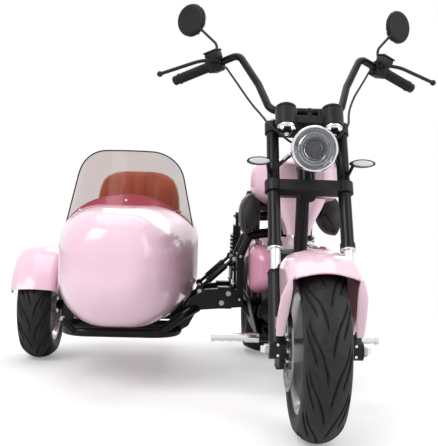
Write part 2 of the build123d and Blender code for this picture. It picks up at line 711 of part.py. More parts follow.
# Sidecar frame
RAIL_OUT, RAIL_IN, RAIL_Z = SIDECAR_X - 200, SIDECAR_X + 200, 183.0
with BuildPart() as sidecar_frame:
    tube([at(RAIL_OUT, 1480, RAIL_Z), at(RAIL_OUT, 640, RAIL_Z), at(RAIL_IN, 640, RAIL_Z),
          at(RAIL_IN, 1480, RAIL_Z)], 34, bend=90)
    for y in (860, SIDE_WHEEL_Y, 1470):
        tube([at(RAIL_OUT, y, RAIL_Z), at(RAIL_IN, y, RAIL_Z)], 34)
    tube([at(RAIL_IN - 60, 642, 186), at(RAIL_IN + 18, 652, 244), at(RAIL_IN + 70, 738, 264)], 32, bend=40)
    tube([at(RAIL_OUT + 40, 642, 186), at(RAIL_OUT + 2, 636, 224)], 26)
    for y in (800, 1400):
        for rail in (RAIL_OUT, RAIL_IN):
            block(at(rail - 20, y - 25, RAIL_Z), at(rail + 20, y + 25, RAIL_Z + 120))
    cut_by(tub_outside)
finish(sidecar_frame, "sidecar_frame")

with BuildPart() as sidecar_axle:
    block(SIDE_AXLE + Vector(104, -40, -42), SIDE_AXLE + Vector(156, 40, 24))
    drum(SIDE_AXLE, 40, 64, 110)
    drum(SIDE_AXLE, AXLE_D, -66, 110)
    drum(SIDE_AXLE, 32, -76, -64)
    cut_by(sidecar_frame)
finish(sidecar_axle, "sidecar_axle")


def crescent(y_front, y_back, half, thickness, z):
    """A thin bow in plan, the foot or the head of the windscreen."""
    with BuildSketch(Plane(origin=at(SIDECAR_X, 0, z)), mode=Mode.PRIVATE) as bow:
        with BuildLine():
            ThreePointArc((-half, y_back), (0, y_front), (half, y_back))
            Line((half, y_back), (half - thickness, y_back + 1))
            ThreePointArc((half - thickness, y_back + 1), (0, y_front + thickness), (thickness - half, y_back + 1))
            Line((thickness - half, y_back + 1), (-half, y_back))
        make_face()
    return bow.sketch


SCREEN_FOOT, SCREEN_HEAD, SCREEN_TOP = 250, 188, 838
with BuildSketch(across(at(SIDECAR_X, 700, 0)), mode=Mode.PRIVATE) as screen_outline:
    Polygon((-SCREEN_FOOT, 540), (SCREEN_FOOT, 540), (SCREEN_HEAD, SCREEN_TOP), (-SCREEN_HEAD, SCREEN_TOP), align=None)
    fillet(screen_outline.vertices().group_by(Axis.Y)[-1], 70)

with BuildPart() as windscreen:
    loft([crescent(740, 960, 252, GLASS_T, 540), crescent(860, 1040, 190, GLASS_T, 876)], ruled=True)
    extrude(screen_outline.sketch, amount=-500, mode=Mode.INTERSECT)
    cut_by(tub_outside)
finish(windscreen, "windscreen")

with BuildSketch(across(at(SIDECAR_X, 700, 0)), mode=Mode.PRIVATE) as band_outline:
    with BuildLine():
        ThreePointArc((-250, 556), (0, BAND_TOP), (250, 556))
        Polyline((250, 556), (250, 500), (-250, 500), (-250, 556))
    make_face()

with BuildPart() as cowl_band:
    loft([crescent(737, 960, 255, 3, 540), crescent(857, 1040, 193, 3, 876)], ruled=True)
    extrude(band_outline.sketch, amount=-500, mode=Mode.INTERSECT)
    cut_by(tub_outside, windscreen)
finish(cowl_band, "cowl_band")

# Seat inside the sidecar
with BuildPart() as sidecar_seat:
    with BuildSketch(Plane(origin=at(SIDECAR_X, SEAT_FRONT + 210, SEAT_Z)), mode=Mode.PRIVATE) as cushion:
        RectangleRounded(400, 420, 60)
    extrude(cushion.sketch, amount=110)
finish(sidecar_seat, "sidecar_seat")

BACKREST_W, BACKREST_TOP = 362.0, 791.0
with BuildPart() as sidecar_backrest:
    with BuildSketch(across(at(SIDECAR_X, 1434, (SEAT_Z + BACKREST_TOP) / 2)), mode=Mode.PRIVATE) as back:
        RectangleRounded(BACKREST_W, BACKREST_TOP - SEAT_Z, 80)
    extrude(back.sketch, amount=60)
    cut_by(sidecar_seat, sidecar_tub)
finish(sidecar_backrest, "sidecar_backrest")

with BuildPart() as sidecar_fender:
    arch(SIDE_AXLE, 89, 170, 226, 242, side_bend=36, crown_bend=150, back=80, front=70)
    for y in (-50, 50):
        drum(SIDE_AXLE + Vector(0, y, 190), 26, 86, 130)
    cut_by(tub_outside)
finish(sidecar_fender, "sidecar_fender")

# Arms between the sidecar and the motorcycle: plates on the motorcycle, box arms on the sidecar's frame
PLATE_OUT, PLATE_IN = -179.0, -154.0
with BuildPart() as bike_brackets:
    for y in ARM_STATIONS:
        block(at(PLATE_OUT, y - 24, 274), at(PLATE_IN, y + 24, 466))
        tube([at(-166, y, 456), at(-135, y, 532), at(-40, y, 545), at(0, y, 545)], 28, bend=25)
        tube([at(*end) for end in stay_ends(y)], STAY_D)
    cut_by(main_frame, frame_cradle, seat_rails, side_covers, belly_pan, battery_block, swingarm)
finish(bike_brackets, "bike_brackets")

ARM_OUTLINE = [(RAIL_IN, 176), (RAIL_IN + 40, 200), (-319, 258), (-158, 272), (-158, 333), (-219, 339), (-292, 333),
               (RAIL_IN + 44, 296), (RAIL_IN + 2, 232)]
JOINT_BOLTS = [(-232, 288), (-208, 322)]
STRUT_FOOT, STRUT_HEAD = (-312, 336), (-192, 446)
with BuildPart() as sidecar_arms:
    for y in ARM_STATIONS:
        slab(across(at(0, y, 0)), ARM_OUTLINE, 34)
        block(at(-246, y - 26, 266), at(-196, y + 26, 344))
        for x, z in JOINT_BOLTS:
            tube([at(x, y - 34, z), at(x, y + 34, z)], 16)
        foot, head = at(STRUT_FOOT[0], y, STRUT_FOOT[1]), at(STRUT_HEAD[0], y, STRUT_HEAD[1])
        tube([foot, head], 13)
        tube([foot + (head - foot) * 0.24, foot + (head - foot) * 0.78], 22)
        for eye in (foot, head):
            tube([eye - Vector(0, 11, 0), eye + Vector(0, 11, 0)], 26)
        tube([at(-190, y, 334), at(-190, y, 412)], 10)
        block(at(-199, y - 9, 404), at(PLATE_OUT, y + 9, 416))
    cut_by(sidecar_frame, bike_brackets, tub_outside)
finish(sidecar_arms, "sidecar_arms")

# Tail light and blank plate bracket, seated on the fender's crown
with BuildPart() as tail_light:
    block(at(-55, 1620, 412), at(55, 1694, 462))
    drum(REAR_AXLE, 2 * REAR_FENDER_R, -130, 130, mode=Mode.SUBTRACT)
finish(tail_light, "tail_light")

PLATE_Y, PLATE_Z, PLATE_HOLES = 1722.0, 345.0, 150.0
with BuildPart() as plate_bracket:
    block(at(-95, PLATE_Y - 3, PLATE_Z - 40), at(95, PLATE_Y, PLATE_Z + 40))
    block(at(-22, 1650, 362), at(22, PLATE_Y - 3, 376))
    drum(REAR_AXLE, 2 * REAR_FENDER_R, -130, 130, mode=Mode.SUBTRACT)
    for side in (-1, 1):
        drill(at(side * PLATE_HOLES / 2, PLATE_Y - 10, PLATE_Z), at(side * PLATE_HOLES / 2, PLATE_Y + 5, PLATE_Z), 6.5)
finish(plate_bracket, "plate_bracket")
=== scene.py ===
"""The looks of an electric chopper with a sidecar: finishes, tyres, seats, lamps, fittings and the studio.

Metres, in the model's own frame. at() takes a point from the motorcycle's mid-plane, its front axle and
the ground, as the construction does.
"""
import json
from math import atan2, copysign, cos, exp, hypot, pi, radians, sin, sqrt

import bmesh
import bpy
from mathutils import Matrix, Vector


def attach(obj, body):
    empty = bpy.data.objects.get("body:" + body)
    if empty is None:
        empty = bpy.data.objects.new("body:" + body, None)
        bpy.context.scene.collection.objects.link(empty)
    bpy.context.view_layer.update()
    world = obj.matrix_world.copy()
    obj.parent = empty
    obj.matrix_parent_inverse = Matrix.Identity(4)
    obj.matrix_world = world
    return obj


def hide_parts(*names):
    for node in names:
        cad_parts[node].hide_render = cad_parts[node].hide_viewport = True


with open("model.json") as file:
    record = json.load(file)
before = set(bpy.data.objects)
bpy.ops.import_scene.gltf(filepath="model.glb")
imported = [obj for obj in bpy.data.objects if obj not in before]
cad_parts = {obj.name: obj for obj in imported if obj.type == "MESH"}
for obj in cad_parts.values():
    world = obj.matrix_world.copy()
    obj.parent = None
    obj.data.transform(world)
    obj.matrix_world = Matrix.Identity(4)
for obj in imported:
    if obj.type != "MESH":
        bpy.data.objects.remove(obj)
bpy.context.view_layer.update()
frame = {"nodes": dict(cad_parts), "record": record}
NODES = frame["nodes"]

# Driving sizes, as in the construction
BIKE_X = 0.285
FRONT_Y = -0.739
WHEELBASE = 1.400
RAKE = radians(25)
SIDECAR_X = -0.590
FORK_X, STEM_BEHIND = 0.105, 0.040
LOWER_CLAMP_AT, UPPER_CLAMP_AT, COVER_TOP = 0.492, 0.692, 0.712
CLAMP_T = 0.034

# Wheels: radius over the tread, width over the walls, radius of the bead seat, rise of the crown
FRONT_TYRE = (0.2435, 0.120, 0.160, 0.030)
REAR_TYRE = (0.2385, 0.212, 0.160, 0.026)
SIDE_TYRE = (0.218, 0.130, 0.135, 0.030)
SIDE_WHEEL_X, SIDE_WHEEL_Y = -0.958, 1.150

# The photograph's camera, fitted to the fork, lamps, bars, wheels and sidecar
PHOTO_H = 446
CAMERA_AT = (-0.335, -2.076, 0.593)
CAMERA_YAW, CAMERA_PITCH, CAMERA_ROLL = 1.78, -0.36, 1.52
FOCAL_PX = 773.0
SENSOR = 36.0


def at(x, y, z):
    """A point given from the mid-plane, the front axle and the ground."""
    return Vector((BIKE_X + x, FRONT_Y + y, z))


def fork(x, along, ahead=0.0):
    """A point given along the fork from the axle, and ahead of the fork tubes."""
    y = along * sin(RAKE) - ahead * cos(RAKE)
    z = along * cos(RAKE) + ahead * sin(RAKE)
    return at(x, y, FRONT_TYRE[0] + z)


FRONT_AXLE = at(0, 0, FRONT_TYRE[0])
REAR_AXLE = at(0, WHEELBASE, REAR_TYRE[0])
SIDE_AXLE = at(SIDE_WHEEL_X, SIDE_WHEEL_Y, SIDE_TYRE[0])
ACROSS = Vector((1, 0, 0))
AHEAD = Vector((0, -1, 0))
UP = Vector((0, 0, 1))
FORK_UP = Vector((0, sin(RAKE), cos(RAKE)))
FORK_AHEAD = Vector((0, -cos(RAKE), sin(RAKE)))


# Shader sockets and materials

class Wire:
    """A shader socket that another node's socket can be filled from."""

    def __init__(self, socket):
        self.socket = socket


class Finish:
    """A material under construction."""

    def __init__(self, name):
        self.material = bpy.data.materials.new(name)
        self.material.use_nodes = True
        self.tree = self.material.node_tree
        self.tree.nodes.clear()
        self.place = self.node("ShaderNodeTexCoord", output="Object")

    def node(self, kind, settings=None, inputs=None, output=0):
        """Adds a node, applies its settings, fills its sockets, and returns one of its outputs."""
        made = self.tree.nodes.new(kind)
        for key, value in (settings or {}).items():
            if key == "stops":
                self.set_stops(made.color_ramp, value)
            else:
                setattr(made, key, value)
        for key, value in (inputs or {}).items():
            if isinstance(value, Wire):
                self.tree.links.new(value.socket, made.inputs[key])
            else:
                made.inputs[key].default_value = value
        return Wire(made.outputs[output]) if made.outputs else made

    @staticmethod
    def set_stops(ramp, stops):
        while len(ramp.elements) < len(stops):
            ramp.elements.new(1.0)
        for element, (position, colour) in zip(ramp.elements, stops):
            element.position = position
            element.color = (*colour, 1.0)

    def noise(self, scale, detail=3.0, roughness=0.5, stretch=None):
        """Soft noise from 0 to 1 over the piece, at so many cells a metre."""
        place = self.place
        if stretch:
            place = self.node("ShaderNodeMapping", {}, {"Vector": self.place, "Scale": stretch})
        sockets = {"Vector": place, "Scale": scale, "Detail": detail, "Roughness": roughness}
        return self.node("ShaderNodeTexNoise", {}, sockets, "Fac")

    def cells(self, scale):
        """The distance to the nearest cell's centre, as the grain of leather shows."""
        sockets = {"Vector": self.place, "Scale": scale}
        return self.node("ShaderNodeTexVoronoi", {"feature": "F1"}, sockets, "Distance")

    def ramp(self, factor, *stops):
        """A colour that follows a factor through stops of (position, colour)."""
        return self.node("ShaderNodeValToRGB", {"stops": stops}, {"Fac": factor}, "Color")

    def level(self, factor, low, high, low_in=0.0, high_in=1.0):
        """A number that runs from low to high as the factor goes through its range."""
        sockets = {"Value": factor, "From Min": low_in, "From Max": high_in, "To Min": low, "To Max": high}
        return self.node("ShaderNodeMapRange", {}, sockets)

    def bump(self, height, strength, distance):
        """A normal raised by a height."""
        return self.node("ShaderNodeBump", {}, {"Height": height, "Strength": strength, "Distance": distance})

    def shade(self, **inputs):
        """The surface shader, by the Principled sockets' names with underscores for spaces."""
        sockets = {key.replace("_", " "): value for key, value in inputs.items()}
        surface = self.node("ShaderNodeBsdfPrincipled", {}, sockets)
        self.node("ShaderNodeOutputMaterial", {}, {"Surface": surface})
        return self.material


PINK = (0.85, 0.61, 0.71)
PINK_DEEP = (0.81, 0.55, 0.66)


def gloss_paint(name, colour, deep, roughness=0.22, coat=1.0, shine=0.5):
    """Sprayed paint under clear coat, with a faint orange peel."""
    f = Finish(name)
    cloud = f.noise(2.5, 2.0)
    peel = f.noise(900, 2.0)
    return f.shade(Base_Color=f.ramp(cloud, (0.35, deep), (0.65, colour)),
                   Roughness=f.level(f.noise(40), roughness - 0.03, roughness + 0.05),
                   Coat_Weight=coat, Coat_Roughness=0.03, Specular_IOR_Level=shine,
                   Normal=f.bump(peel, 0.04, 0.0004))


def satin(name, colour, roughness, shine=0.5, grain=300, depth=0.12):
    """A satin or matt coating with a fine even grain and slight wear in its sheen."""
    f = Finish(name)
    fine = f.noise(grain, 3.0, 0.6)
    wear = f.noise(14, 4.0, 0.6)
    paler = tuple(1.4 * c + 0.004 for c in colour)
    return f.shade(Base_Color=f.ramp(wear, (0.4, colour), (0.8, paler)),
                   Roughness=f.level(wear, roughness - 0.06, roughness + 0.08),
                   Specular_IOR_Level=shine, Normal=f.bump(fine, depth, 0.0006))


def bright_metal(name, colour, roughness, brushed=None):
    """Chrome or machined metal, with fine lines where it is brushed."""
    f = Finish(name)
    haze = f.noise(22, 3.0)
    lines = f.noise(500, 2.0, 0.6, stretch=brushed or (1, 1, 1))
    duller = tuple(0.92 * c for c in colour)
    return f.shade(Base_Color=f.ramp(haze, (0.3, duller), (0.7, colour)), Metallic=1.0,
                   Roughness=f.level(haze, roughness, roughness + 0.06),
                   Normal=f.bump(lines, 0.06 if brushed else 0.01, 0.0003))


def leather(name, colour, dark, grain=260):
    """Leather with its pebbled grain, paler where it is rubbed."""
    f = Finish(name)
    pebble = f.cells(grain)
    fold = f.noise(9, 4.0, 0.55)
    rubbed = tuple(min(1.0, 1.25 * c + 0.01) for c in colour)
    return f.shade(Base_Color=f.ramp(fold, (0.3, dark), (0.55, colour), (0.8, rubbed)),
                   Specular_IOR_Level=0.3,
                   Roughness=f.level(pebble, 0.36, 0.55), Normal=f.bump(pebble, 0.35, 0.0006))


def rubber(name, colour):
    """Tyre or grip rubber, with paler dusty patches."""
    f = Finish(name)
    dust = f.noise(60, 5.0, 0.65)
    fine = f.noise(700, 2.0)
    dusty = tuple(2.0 * c for c in colour)
    return f.shade(Base_Color=f.ramp(dust, (0.4, colour), (0.75, dusty)), Specular_IOR_Level=0.22,
                   Roughness=f.level(dust, 0.42, 0.62), Normal=f.bump(fine, 0.15, 0.0005))


def tinted(name, colour, alpha, roughness=0.05, shine=0.5):
    """Clear tinted plastic or glass that shows what is behind it."""
    f = Finish(name)
    streak = f.noise(30, 2.0)
    duller = tuple(0.93 * c for c in colour)
    return f.shade(Base_Color=f.ramp(streak, (0.3, duller), (0.7, colour)),
                   Roughness=f.level(streak, roughness, roughness + 0.04),
                   Alpha=alpha, Specular_IOR_Level=shine)


MATERIALS = {
    "pink_paint": gloss_paint("pink paint", PINK, PINK_DEEP, 0.22, 0.55, 0.4),
    "black_paint": gloss_paint("black gloss paint", (0.007, 0.007, 0.008), (0.005, 0.005, 0.006),
                               0.24, 0.12, 0.14),
    "satin_black": satin("satin black", (0.010, 0.010, 0.011), 0.34, 0.22),
    "chrome": bright_metal("chrome", (0.82, 0.82, 0.83), 0.06),
    "alloy": bright_metal("cast alloy", (0.55, 0.55, 0.56), 0.28, brushed=(4, 1, 1)),
    "steel": bright_metal("ground steel", (0.46, 0.46, 0.47), 0.22, brushed=(1, 6, 1)),
    "tyre": rubber("tyre rubber", (0.014, 0.014, 0.015)),
    "grip_rubber": rubber("grip rubber", (0.009, 0.009, 0.009)),
    "black_plastic": satin("black plastic", (0.010, 0.010, 0.011), 0.42, 0.2, grain=500, depth=0.2),
    "black_leather": leather("black leather", (0.020, 0.020, 0.021), (0.014, 0.014, 0.015)),
    "tan_leather": leather("tan leather", (0.38, 0.082, 0.035), (0.29, 0.058, 0.024)),
    "crimson_trim": gloss_paint("crimson trim", (0.36, 0.050, 0.080), (0.30, 0.036, 0.060),
                                0.3, 0.2, 0.25),
    "smoke_screen": tinted("smoke screen", (0.20, 0.03, 0.015), 0.28, 0.04, 0.2),
    "lamp_glass": tinted("lamp glass", (0.4, 0.42, 0.44), 0.07),
    "red_lens": tinted("red lens", (0.5, 0.012, 0.012), 0.9, 0.1),
}
DARK_LENS = tinted("dark projector lens", (0.006, 0.006, 0.008), 1.0, 0.03, 0.35)
CLEAR_LENS = tinted("clear lens", (0.82, 0.83, 0.84), 0.75, 0.08)
MIRROR_GLASS = bright_metal("mirror glass", (0.86, 0.88, 0.9), 0.01)
PALE_PIPING = leather("pale piping", (0.62, 0.45, 0.34), (0.5, 0.34, 0.25), 400)
INNER_RED = gloss_paint("red inside of the fender", (0.42, 0.045, 0.05), (0.34, 0.035, 0.04),
                        0.35, 0.2, 0.25)
# A darker copy of the pink paint, as painted shade: it stands for the shadow that falls on the side covers
# under the saddle.
PINK_PAINTED_SHADE = gloss_paint("pink paint darkened as painted shade", (0.68, 0.33, 0.45), (0.62, 0.27, 0.39),
                         0.22, 0.55, 0.4)
REFLECTOR = bright_metal("stepped reflector", (0.42, 0.43, 0.44), 0.12)

for part in frame["record"]["subparts"]:
    node = NODES[part["node"]]
    node.data.materials.clear()
    # The side covers take the darker pink copy, which is painted shade and not a paint of their own.
    takes_painted_shade = part["node"] == "side_covers"
    node.data.materials.append(PINK_PAINTED_SHADE if takes_painted_shade else MATERIALS[part["material_slot"]])


# Pieces and the forms that they share

def piece(name, bm, slot, body, material=None, replaces=(), crease=38):
    """Makes an object of what has been built in a bmesh, and lets it ride on a body."""
    bmesh.ops.remove_doubles(bm, verts=bm.verts[:], dist=2e-6)
    bmesh.ops.dissolve_degenerate(bm, edges=bm.edges[:], dist=1e-6)
    bmesh.ops.recalc_face_normals(bm, faces=bm.faces[:])
    mesh = bpy.data.meshes.new(name)
    bm.to_mesh(mesh)
    bm.free()
    mesh.materials.append(material or MATERIALS[slot])
    mesh.shade_smooth()
    made = bpy.data.objects.new(name, mesh)
    bpy.context.scene.collection.objects.link(made)
    made.modifiers.new("crease", "EDGE_SPLIT").split_angle = radians(crease)
    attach(made, body)
    if replaces:
        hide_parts(*replaces)
    return made


def line(bm, points, closed=False):
    """Edges through points in turn."""
    verts = [bm.verts.new(point) for point in points]
    ends = verts[1:] + verts[:1] if closed else verts[1:]
    return verts, [bm.edges.new(pair) for pair in zip(verts, ends)]


def join(bm, form):
    """Adds a finished form to a piece."""
    mesh = bpy.data.meshes.new("form")
    form.to_mesh(mesh)
    form.free()
    bm.from_mesh(mesh)
    bpy.data.meshes.remove(mesh)


def skin(bm, rings, caps=True):
    """Bridges closed rings of the same number of points into a surface."""
    form = bmesh.new()
    loops = [line(form, ring, closed=True)[1] for ring in rings]
    for low, high in zip(loops, loops[1:]):
        bmesh.ops.bridge_loops(form, edges=low + high)
    if caps:
        for loop in (loops[0], loops[-1]):
            bmesh.ops.edgeloop_fill(form, edges=loop)
    join(bm, form)


def square_to(axis):
    """Two directions square to an axis and to each other."""
    side = axis.orthogonal().normalized()
    return side, axis.cross(side).normalized()


def lathe(bm, centre, axis, profile, steps=48, hollow=False):
    """Spins a profile of (along the axis, radius) about an axis; a hollow one closes on itself."""
    axis = axis.normalized()
    side = square_to(axis)[0]
    if not hollow:
        profile = [(profile[0][0], 0.0), *profile, (profile[-1][0], 0.0)]
    form = bmesh.new()
    points = [centre + axis * along + side * radius for along, radius in profile]
    verts, edges = line(form, points, closed=hollow)
    bmesh.ops.spin(form, geom=verts + edges, cent=centre, axis=axis, angle=2 * pi, steps=steps,
                   use_merge=True)
    join(bm, form)


def hex_head(bm, place, direction, size, height=None):
    """A bolt head: a washer, and a hexagon with a chamfered top."""
    height = height or 0.55 * size
    washer = 0.12 * size
    lathe(bm, place, direction, [(0, 0.62 * size), (washer, 0.62 * size)], 20)
    lathe(bm, place, direction, [(washer, 0.5 * size), (height * 0.86, 0.5 * size), (height, 0.4 * size)], 6)


def cap_screw(bm, place, direction, size):
    """A domed socket screw."""
    lathe(bm, place, direction, [(0, 0.5 * size), (0.2 * size, 0.5 * size), (0.38 * size, 0.4 * size),
                                 (0.42 * size, 0.2 * size), (0.25 * size, 0.18 * size)], 16)


def rod(bm, points, radius, sides=12, caps=True):
    """A round bar or cable that follows points, with its rings square to its way."""
    points = [Vector(point) for point in points]
    rings = []
    side = None
    for i, spot in enumerate(points):
        way = (points[min(i + 1, len(points) - 1)] - points[max(i - 1, 0)]).normalized()
        side = square_to(way)[0] if side is None else (side - way * side.dot(way)).normalized()
        other = way.cross(side)
        size = radius[i] if isinstance(radius, (list, tuple)) else radius
        rings.append([spot + (side * cos(t) + other * sin(t)) * size for t in turns(sides)])
    skin(bm, rings, caps=caps)


def turns(count):
    """Angles evenly round a circle."""
    return [2 * pi * k / count for k in range(count)]


def smooth_way(points, steps=8):
    """More points along a smooth curve through the given ones."""
    points = [Vector(point) for point in points]
    ends = [2 * points[0] - points[1], *points, 2 * points[-1] - points[-2]]
    way = []
    for a, b, c, d in zip(ends, ends[1:], ends[2:], ends[3:]):
        for k in range(steps):
            t = k / steps
            way.append(0.5 * (2 * b + (c - a) * t + (2 * a - 5 * b + 4 * c - d) * t * t
                              + (3 * b - a - 3 * c + d) * t ** 3))
    return way + [points[-1]]


def rounded_block(bm, centre, size, bevel, turn):
    """A block with rounded edges, turned and set in its place."""
    form = bmesh.new()
    bmesh.ops.create_cube(form, size=1.0)
    bmesh.ops.scale(form, verts=form.verts[:], vec=size)
    bmesh.ops.bevel(form, geom=form.edges[:], offset=bevel, segments=3, profile=0.5, affect="EDGES",
                    material=-1)
    bmesh.ops.transform(form, verts=form.verts[:], matrix=turn)
    bmesh.ops.translate(form, verts=form.verts[:], vec=centre)
    join(bm, form)


def rounded_ring(half_w, half_h, power, count):
    """Points round a rounded rectangle, as a squared ellipse."""
    return [(half_w * copysign(abs(cos(t)) ** (2 / power), cos(t)),
             half_h * copysign(abs(sin(t)) ** (2 / power), sin(t))) for t in turns(count)]


def eased(table, y):
    """Smoothly interpolated values from a table whose first column is the place."""
    rows = sorted(table)
    if y <= rows[0][0]:
        return rows[0][1:]
    for low, high in zip(rows, rows[1:]):
        if y <= high[0]:
            t = (y - low[0]) / (high[0] - low[0])
            t = (t + t * t * (3 - 2 * t)) / 2
            return tuple(a + (b - a) * t for a, b in zip(low[1:], high[1:]))
    return rows[-1][1:]


# Tyres with their tread

# Shares of the half width: where a groove fades out, and where the wall meets the tread
GROOVE_FADE, SHOULDER_AT = 0.06, 0.96

# The half width in metres by which a groove's sweep becomes a slope
SLOPE_SPAN = 0.06

# Raised points of the wall: their places in it, and how far they stand out
WALL_RIBS = ((3, 0.0012), (4, 0.0012), (8, 0.0010))


def near(angle, other):
    """The same direction as an angle within half a turn of another."""
    while angle - other > pi:
        angle -= 2 * pi
    while angle - other < -pi:
        angle += 2 * pi
    return angle


def arc_through(a, b, c, count):
    """Points along the circle through three points in a plane, ends included."""
    ax, ay, bx, by, cx, cy = *a, *b, *c
    aa, bb, cc = ax * ax + ay * ay, bx * bx + by * by, cx * cx + cy * cy
    d = 2 * (ax * (by - cy) + bx * (cy - ay) + cx * (ay - by))
    ux = (aa * (by - cy) + bb * (cy - ay) + cc * (ay - by)) / d
    uy = (aa * (cx - bx) + bb * (ax - cx) + cc * (bx - ax)) / d
    start, middle, end = (atan2(y - uy, x - ux) for x, y in (a, b, c))
    turn = near(end, near(middle, start)) - start
    radius = hypot(ax - ux, ay - uy)
    angles = [start + turn * k / (count - 1) for k in range(count)]
    return [(ux + radius * cos(t), uy + radius * sin(t)) for t in angles]


def groove_depth(off, along, grooves, depth, width):
    """How deep the tread is cut at a place across (from -1 to 1) and along the tyre."""
    side = 1 if off > 0 else -1
    reach = abs(off)
    cut = 0.0
    for start, end, pitch, shift, sweep, curl in grooves:
        if not start < reach < end:
            continue
        lead = shift * pitch + (0.5 * pitch if side < 0 else 0.0) + sweep * reach + curl * sin(2 * pi * reach)
        slope = sweep + curl * 2 * pi * cos(2 * pi * reach)
        away = (along - lead + 0.5 * pitch) % pitch - 0.5 * pitch
        away = abs(away) / sqrt(1 + (slope / SLOPE_SPAN) ** 2)
        edge = min(1.0, (reach - start) / GROOVE_FADE, (end - reach) / GROOVE_FADE)
        if away < width:
            cut = max(cut, depth * edge * min(1.0, 1.6 * (1 - away / width)))
    return cut


def tyre(name, axle, sizes, body, replaced, grooves, across, round_steps, depth=0.0055, width=0.0034):
    """A tyre: its section is spun about the axle, and the tread's grooves are pressed into its crown."""
    radius, span, bead, crown = sizes
    half = span / 2
    shoulder, lip = radius - crown, bead + 0.010
    edge = SHOULDER_AT * half
    wall = arc_through((-0.86 * half, lip), (-half, (shoulder + lip) / 2), (-edge, shoulder), 12)[:-1]
    for i, rise in WALL_RIBS:
        wall[i] = (wall[i][0] - rise, wall[i][1])
    tread = arc_through((-edge, shoulder), (0, radius), (edge, shoulder), across)
    section = wall + tread + [(-x, r) for x, r in reversed(wall)]
    section += [(0.76 * half, lip), (0.76 * half, bead), (-0.76 * half, bead), (-0.76 * half, lip)]
    bm = bmesh.new()
    verts, edges = line(bm, [axle + Vector((x, 0, r)) for x, r in section], closed=True)
    bmesh.ops.spin(bm, geom=verts + edges, cent=axle, axis=ACROSS, angle=2 * pi, steps=round_steps,
                   use_merge=True)
    for vert in bm.verts:
        off = vert.co - axle
        share, reach = off.x / half, hypot(off.y, off.z)
        if abs(share) < 0.955 and reach > shoulder:
            along = (atan2(off.y, off.z) % (2 * pi)) * radius
            cut = groove_depth(share, along, grooves, depth, width)
            vert.co -= Vector((0, off.y, off.z)) * (cut / reach)
    piece(name, bm, "tyre", body, replaces=(replaced,), crease=42)


def tread_grooves(radius, count, long_groove, short_groove):
    """Long grooves, and short ones at the shoulder, with so many of each round either side of the tyre.

    Each is (from, to, pitch, shift, sweep, curl): shares of the half width, metres round the
    tread, pitches, and how far the groove leans and bends along the tread.
    """
    pitch = 2 * pi * radius / count
    return [(0.05, 0.84, pitch, 0.0, *long_groove), (0.50, 0.95, pitch, 0.52, *short_groove)]


FRONT_GROOVES = tread_grooves(FRONT_TYRE[0], 12, (0.230, 0.016), (0.250, 0.012))
REAR_GROOVES = tread_grooves(REAR_TYRE[0], 12, (-0.230, 0.016), (-0.250, 0.012))
SIDE_GROOVES = tread_grooves(SIDE_TYRE[0], 14, (0.190, 0.013), (0.210, 0.010))
tyre("front_tyre_treaded", FRONT_AXLE, FRONT_TYRE, "front_wheel", "front_tyre", FRONT_GROOVES, 61, 760)
tyre("rear_tyre_treaded", REAR_AXLE, REAR_TYRE, "rear_wheel", "rear_tyre", REAR_GROOVES, 61, 480)
tyre("sidecar_tyre_treaded", SIDE_AXLE, SIDE_TYRE, "sidecar_wheel", "sidecar_tyre", SIDE_GROOVES, 51, 520)


# Saddle, seat and backrest

SADDLE = [
    # y, half width, low, high
    (0.642, 0.090, 0.644, 0.700),
    (0.740, 0.148, 0.626, 0.714),
    (0.900, 0.144, 0.622, 0.688),
    (1.040, 0.124, 0.632, 0.686),
    (1.220, 0.102, 0.652, 0.710),
    (1.400, 0.078, 0.674, 0.740),
]
PLEAT_PITCH, PLEAT_DEPTH, CROWN_RISE = 0.052, 0.0022, 0.006

# The flap's outline in (x, height), its middle, and its layers as (y, how far the outline grows)
FLAP = [(0.118, 0.690), (0.150, 0.676), (0.172, 0.641), (0.174, 0.584),
        (0.157, 0.545), (0.126, 0.566), (0.108, 0.610)]
FLAP_X, FLAP_Z = 0.146, 0.62
FLAP_LAYERS = [(0.604, -0.010), (0.610, 0.0), (0.640, 0.003), (0.700, 0.003), (0.774, 0.0), (0.780, -0.010)]


def saddle():
    """The black saddle: a padded top between two seams, a pleated middle, and a flap down each side."""
    bm = bmesh.new()
    rings = []
    steps, count = 110, 72
    first, last = SADDLE[0][0], SADDLE[-1][0]
    for k in range(steps + 1):
        t = k / steps
        y = first + (last - first) * t
        half, low, high = eased(SADDLE, y)
        end = min(1.0, sqrt(max(0.0, min(t, 1 - t) * 14)))
        half *= 0.45 + 0.55 * end
        tall = (high - low) / 2 * (0.35 + 0.65 * end)
        middle = (low + high) / 2
        ring = []
        for x, z in rounded_ring(half, tall, 3.2, count):
            if z > 0:
                fold = 1 - abs(sin(pi * (y - first) / PLEAT_PITCH)) ** 0.6
                pleat = PLEAT_DEPTH * fold * max(0.0, 1 - (abs(x) / half) ** 6)
                z = z + CROWN_RISE * (1 - (x / half) ** 2) * end - pleat
            seam = 0.002 * exp(-((z - 0.52 * tall) / 0.003) ** 2)
            ring.append(at(x * (1 - seam / half), y, middle + z))
        rings.append(ring)
    skin(bm, rings)
    for side in (-1, 1):
        layers = []
        outline = smooth_way([(x, z, 0) for x, z in FLAP] + [(*FLAP[0], 0)], 5)[:-1]
        for y, grow in FLAP_LAYERS:
            layers.append([at(side * (p.x + grow * copysign(1, p.x - FLAP_X)), y,
                              p.y + grow * copysign(1, p.y - FLAP_Z)) for p in outline])
        skin(bm, layers)
    seat = piece("saddle_padded", bm, "black_leather", "chassis", replaces=("saddle",))
    bm = bmesh.new()
    for side in (-1, 1):
        seam = []
        for k in range(4, 61):
            y = first + (last - first) * k / 64
            half, low, high = eased(SADDLE, y)
            seam.append(at(side * half * 0.985, y, (low + high) / 2 + (high - low) * 0.26))
        rod(bm, seam, 0.0028, 8)
    piece("saddle_piping", bm, "black_leather", "chassis")


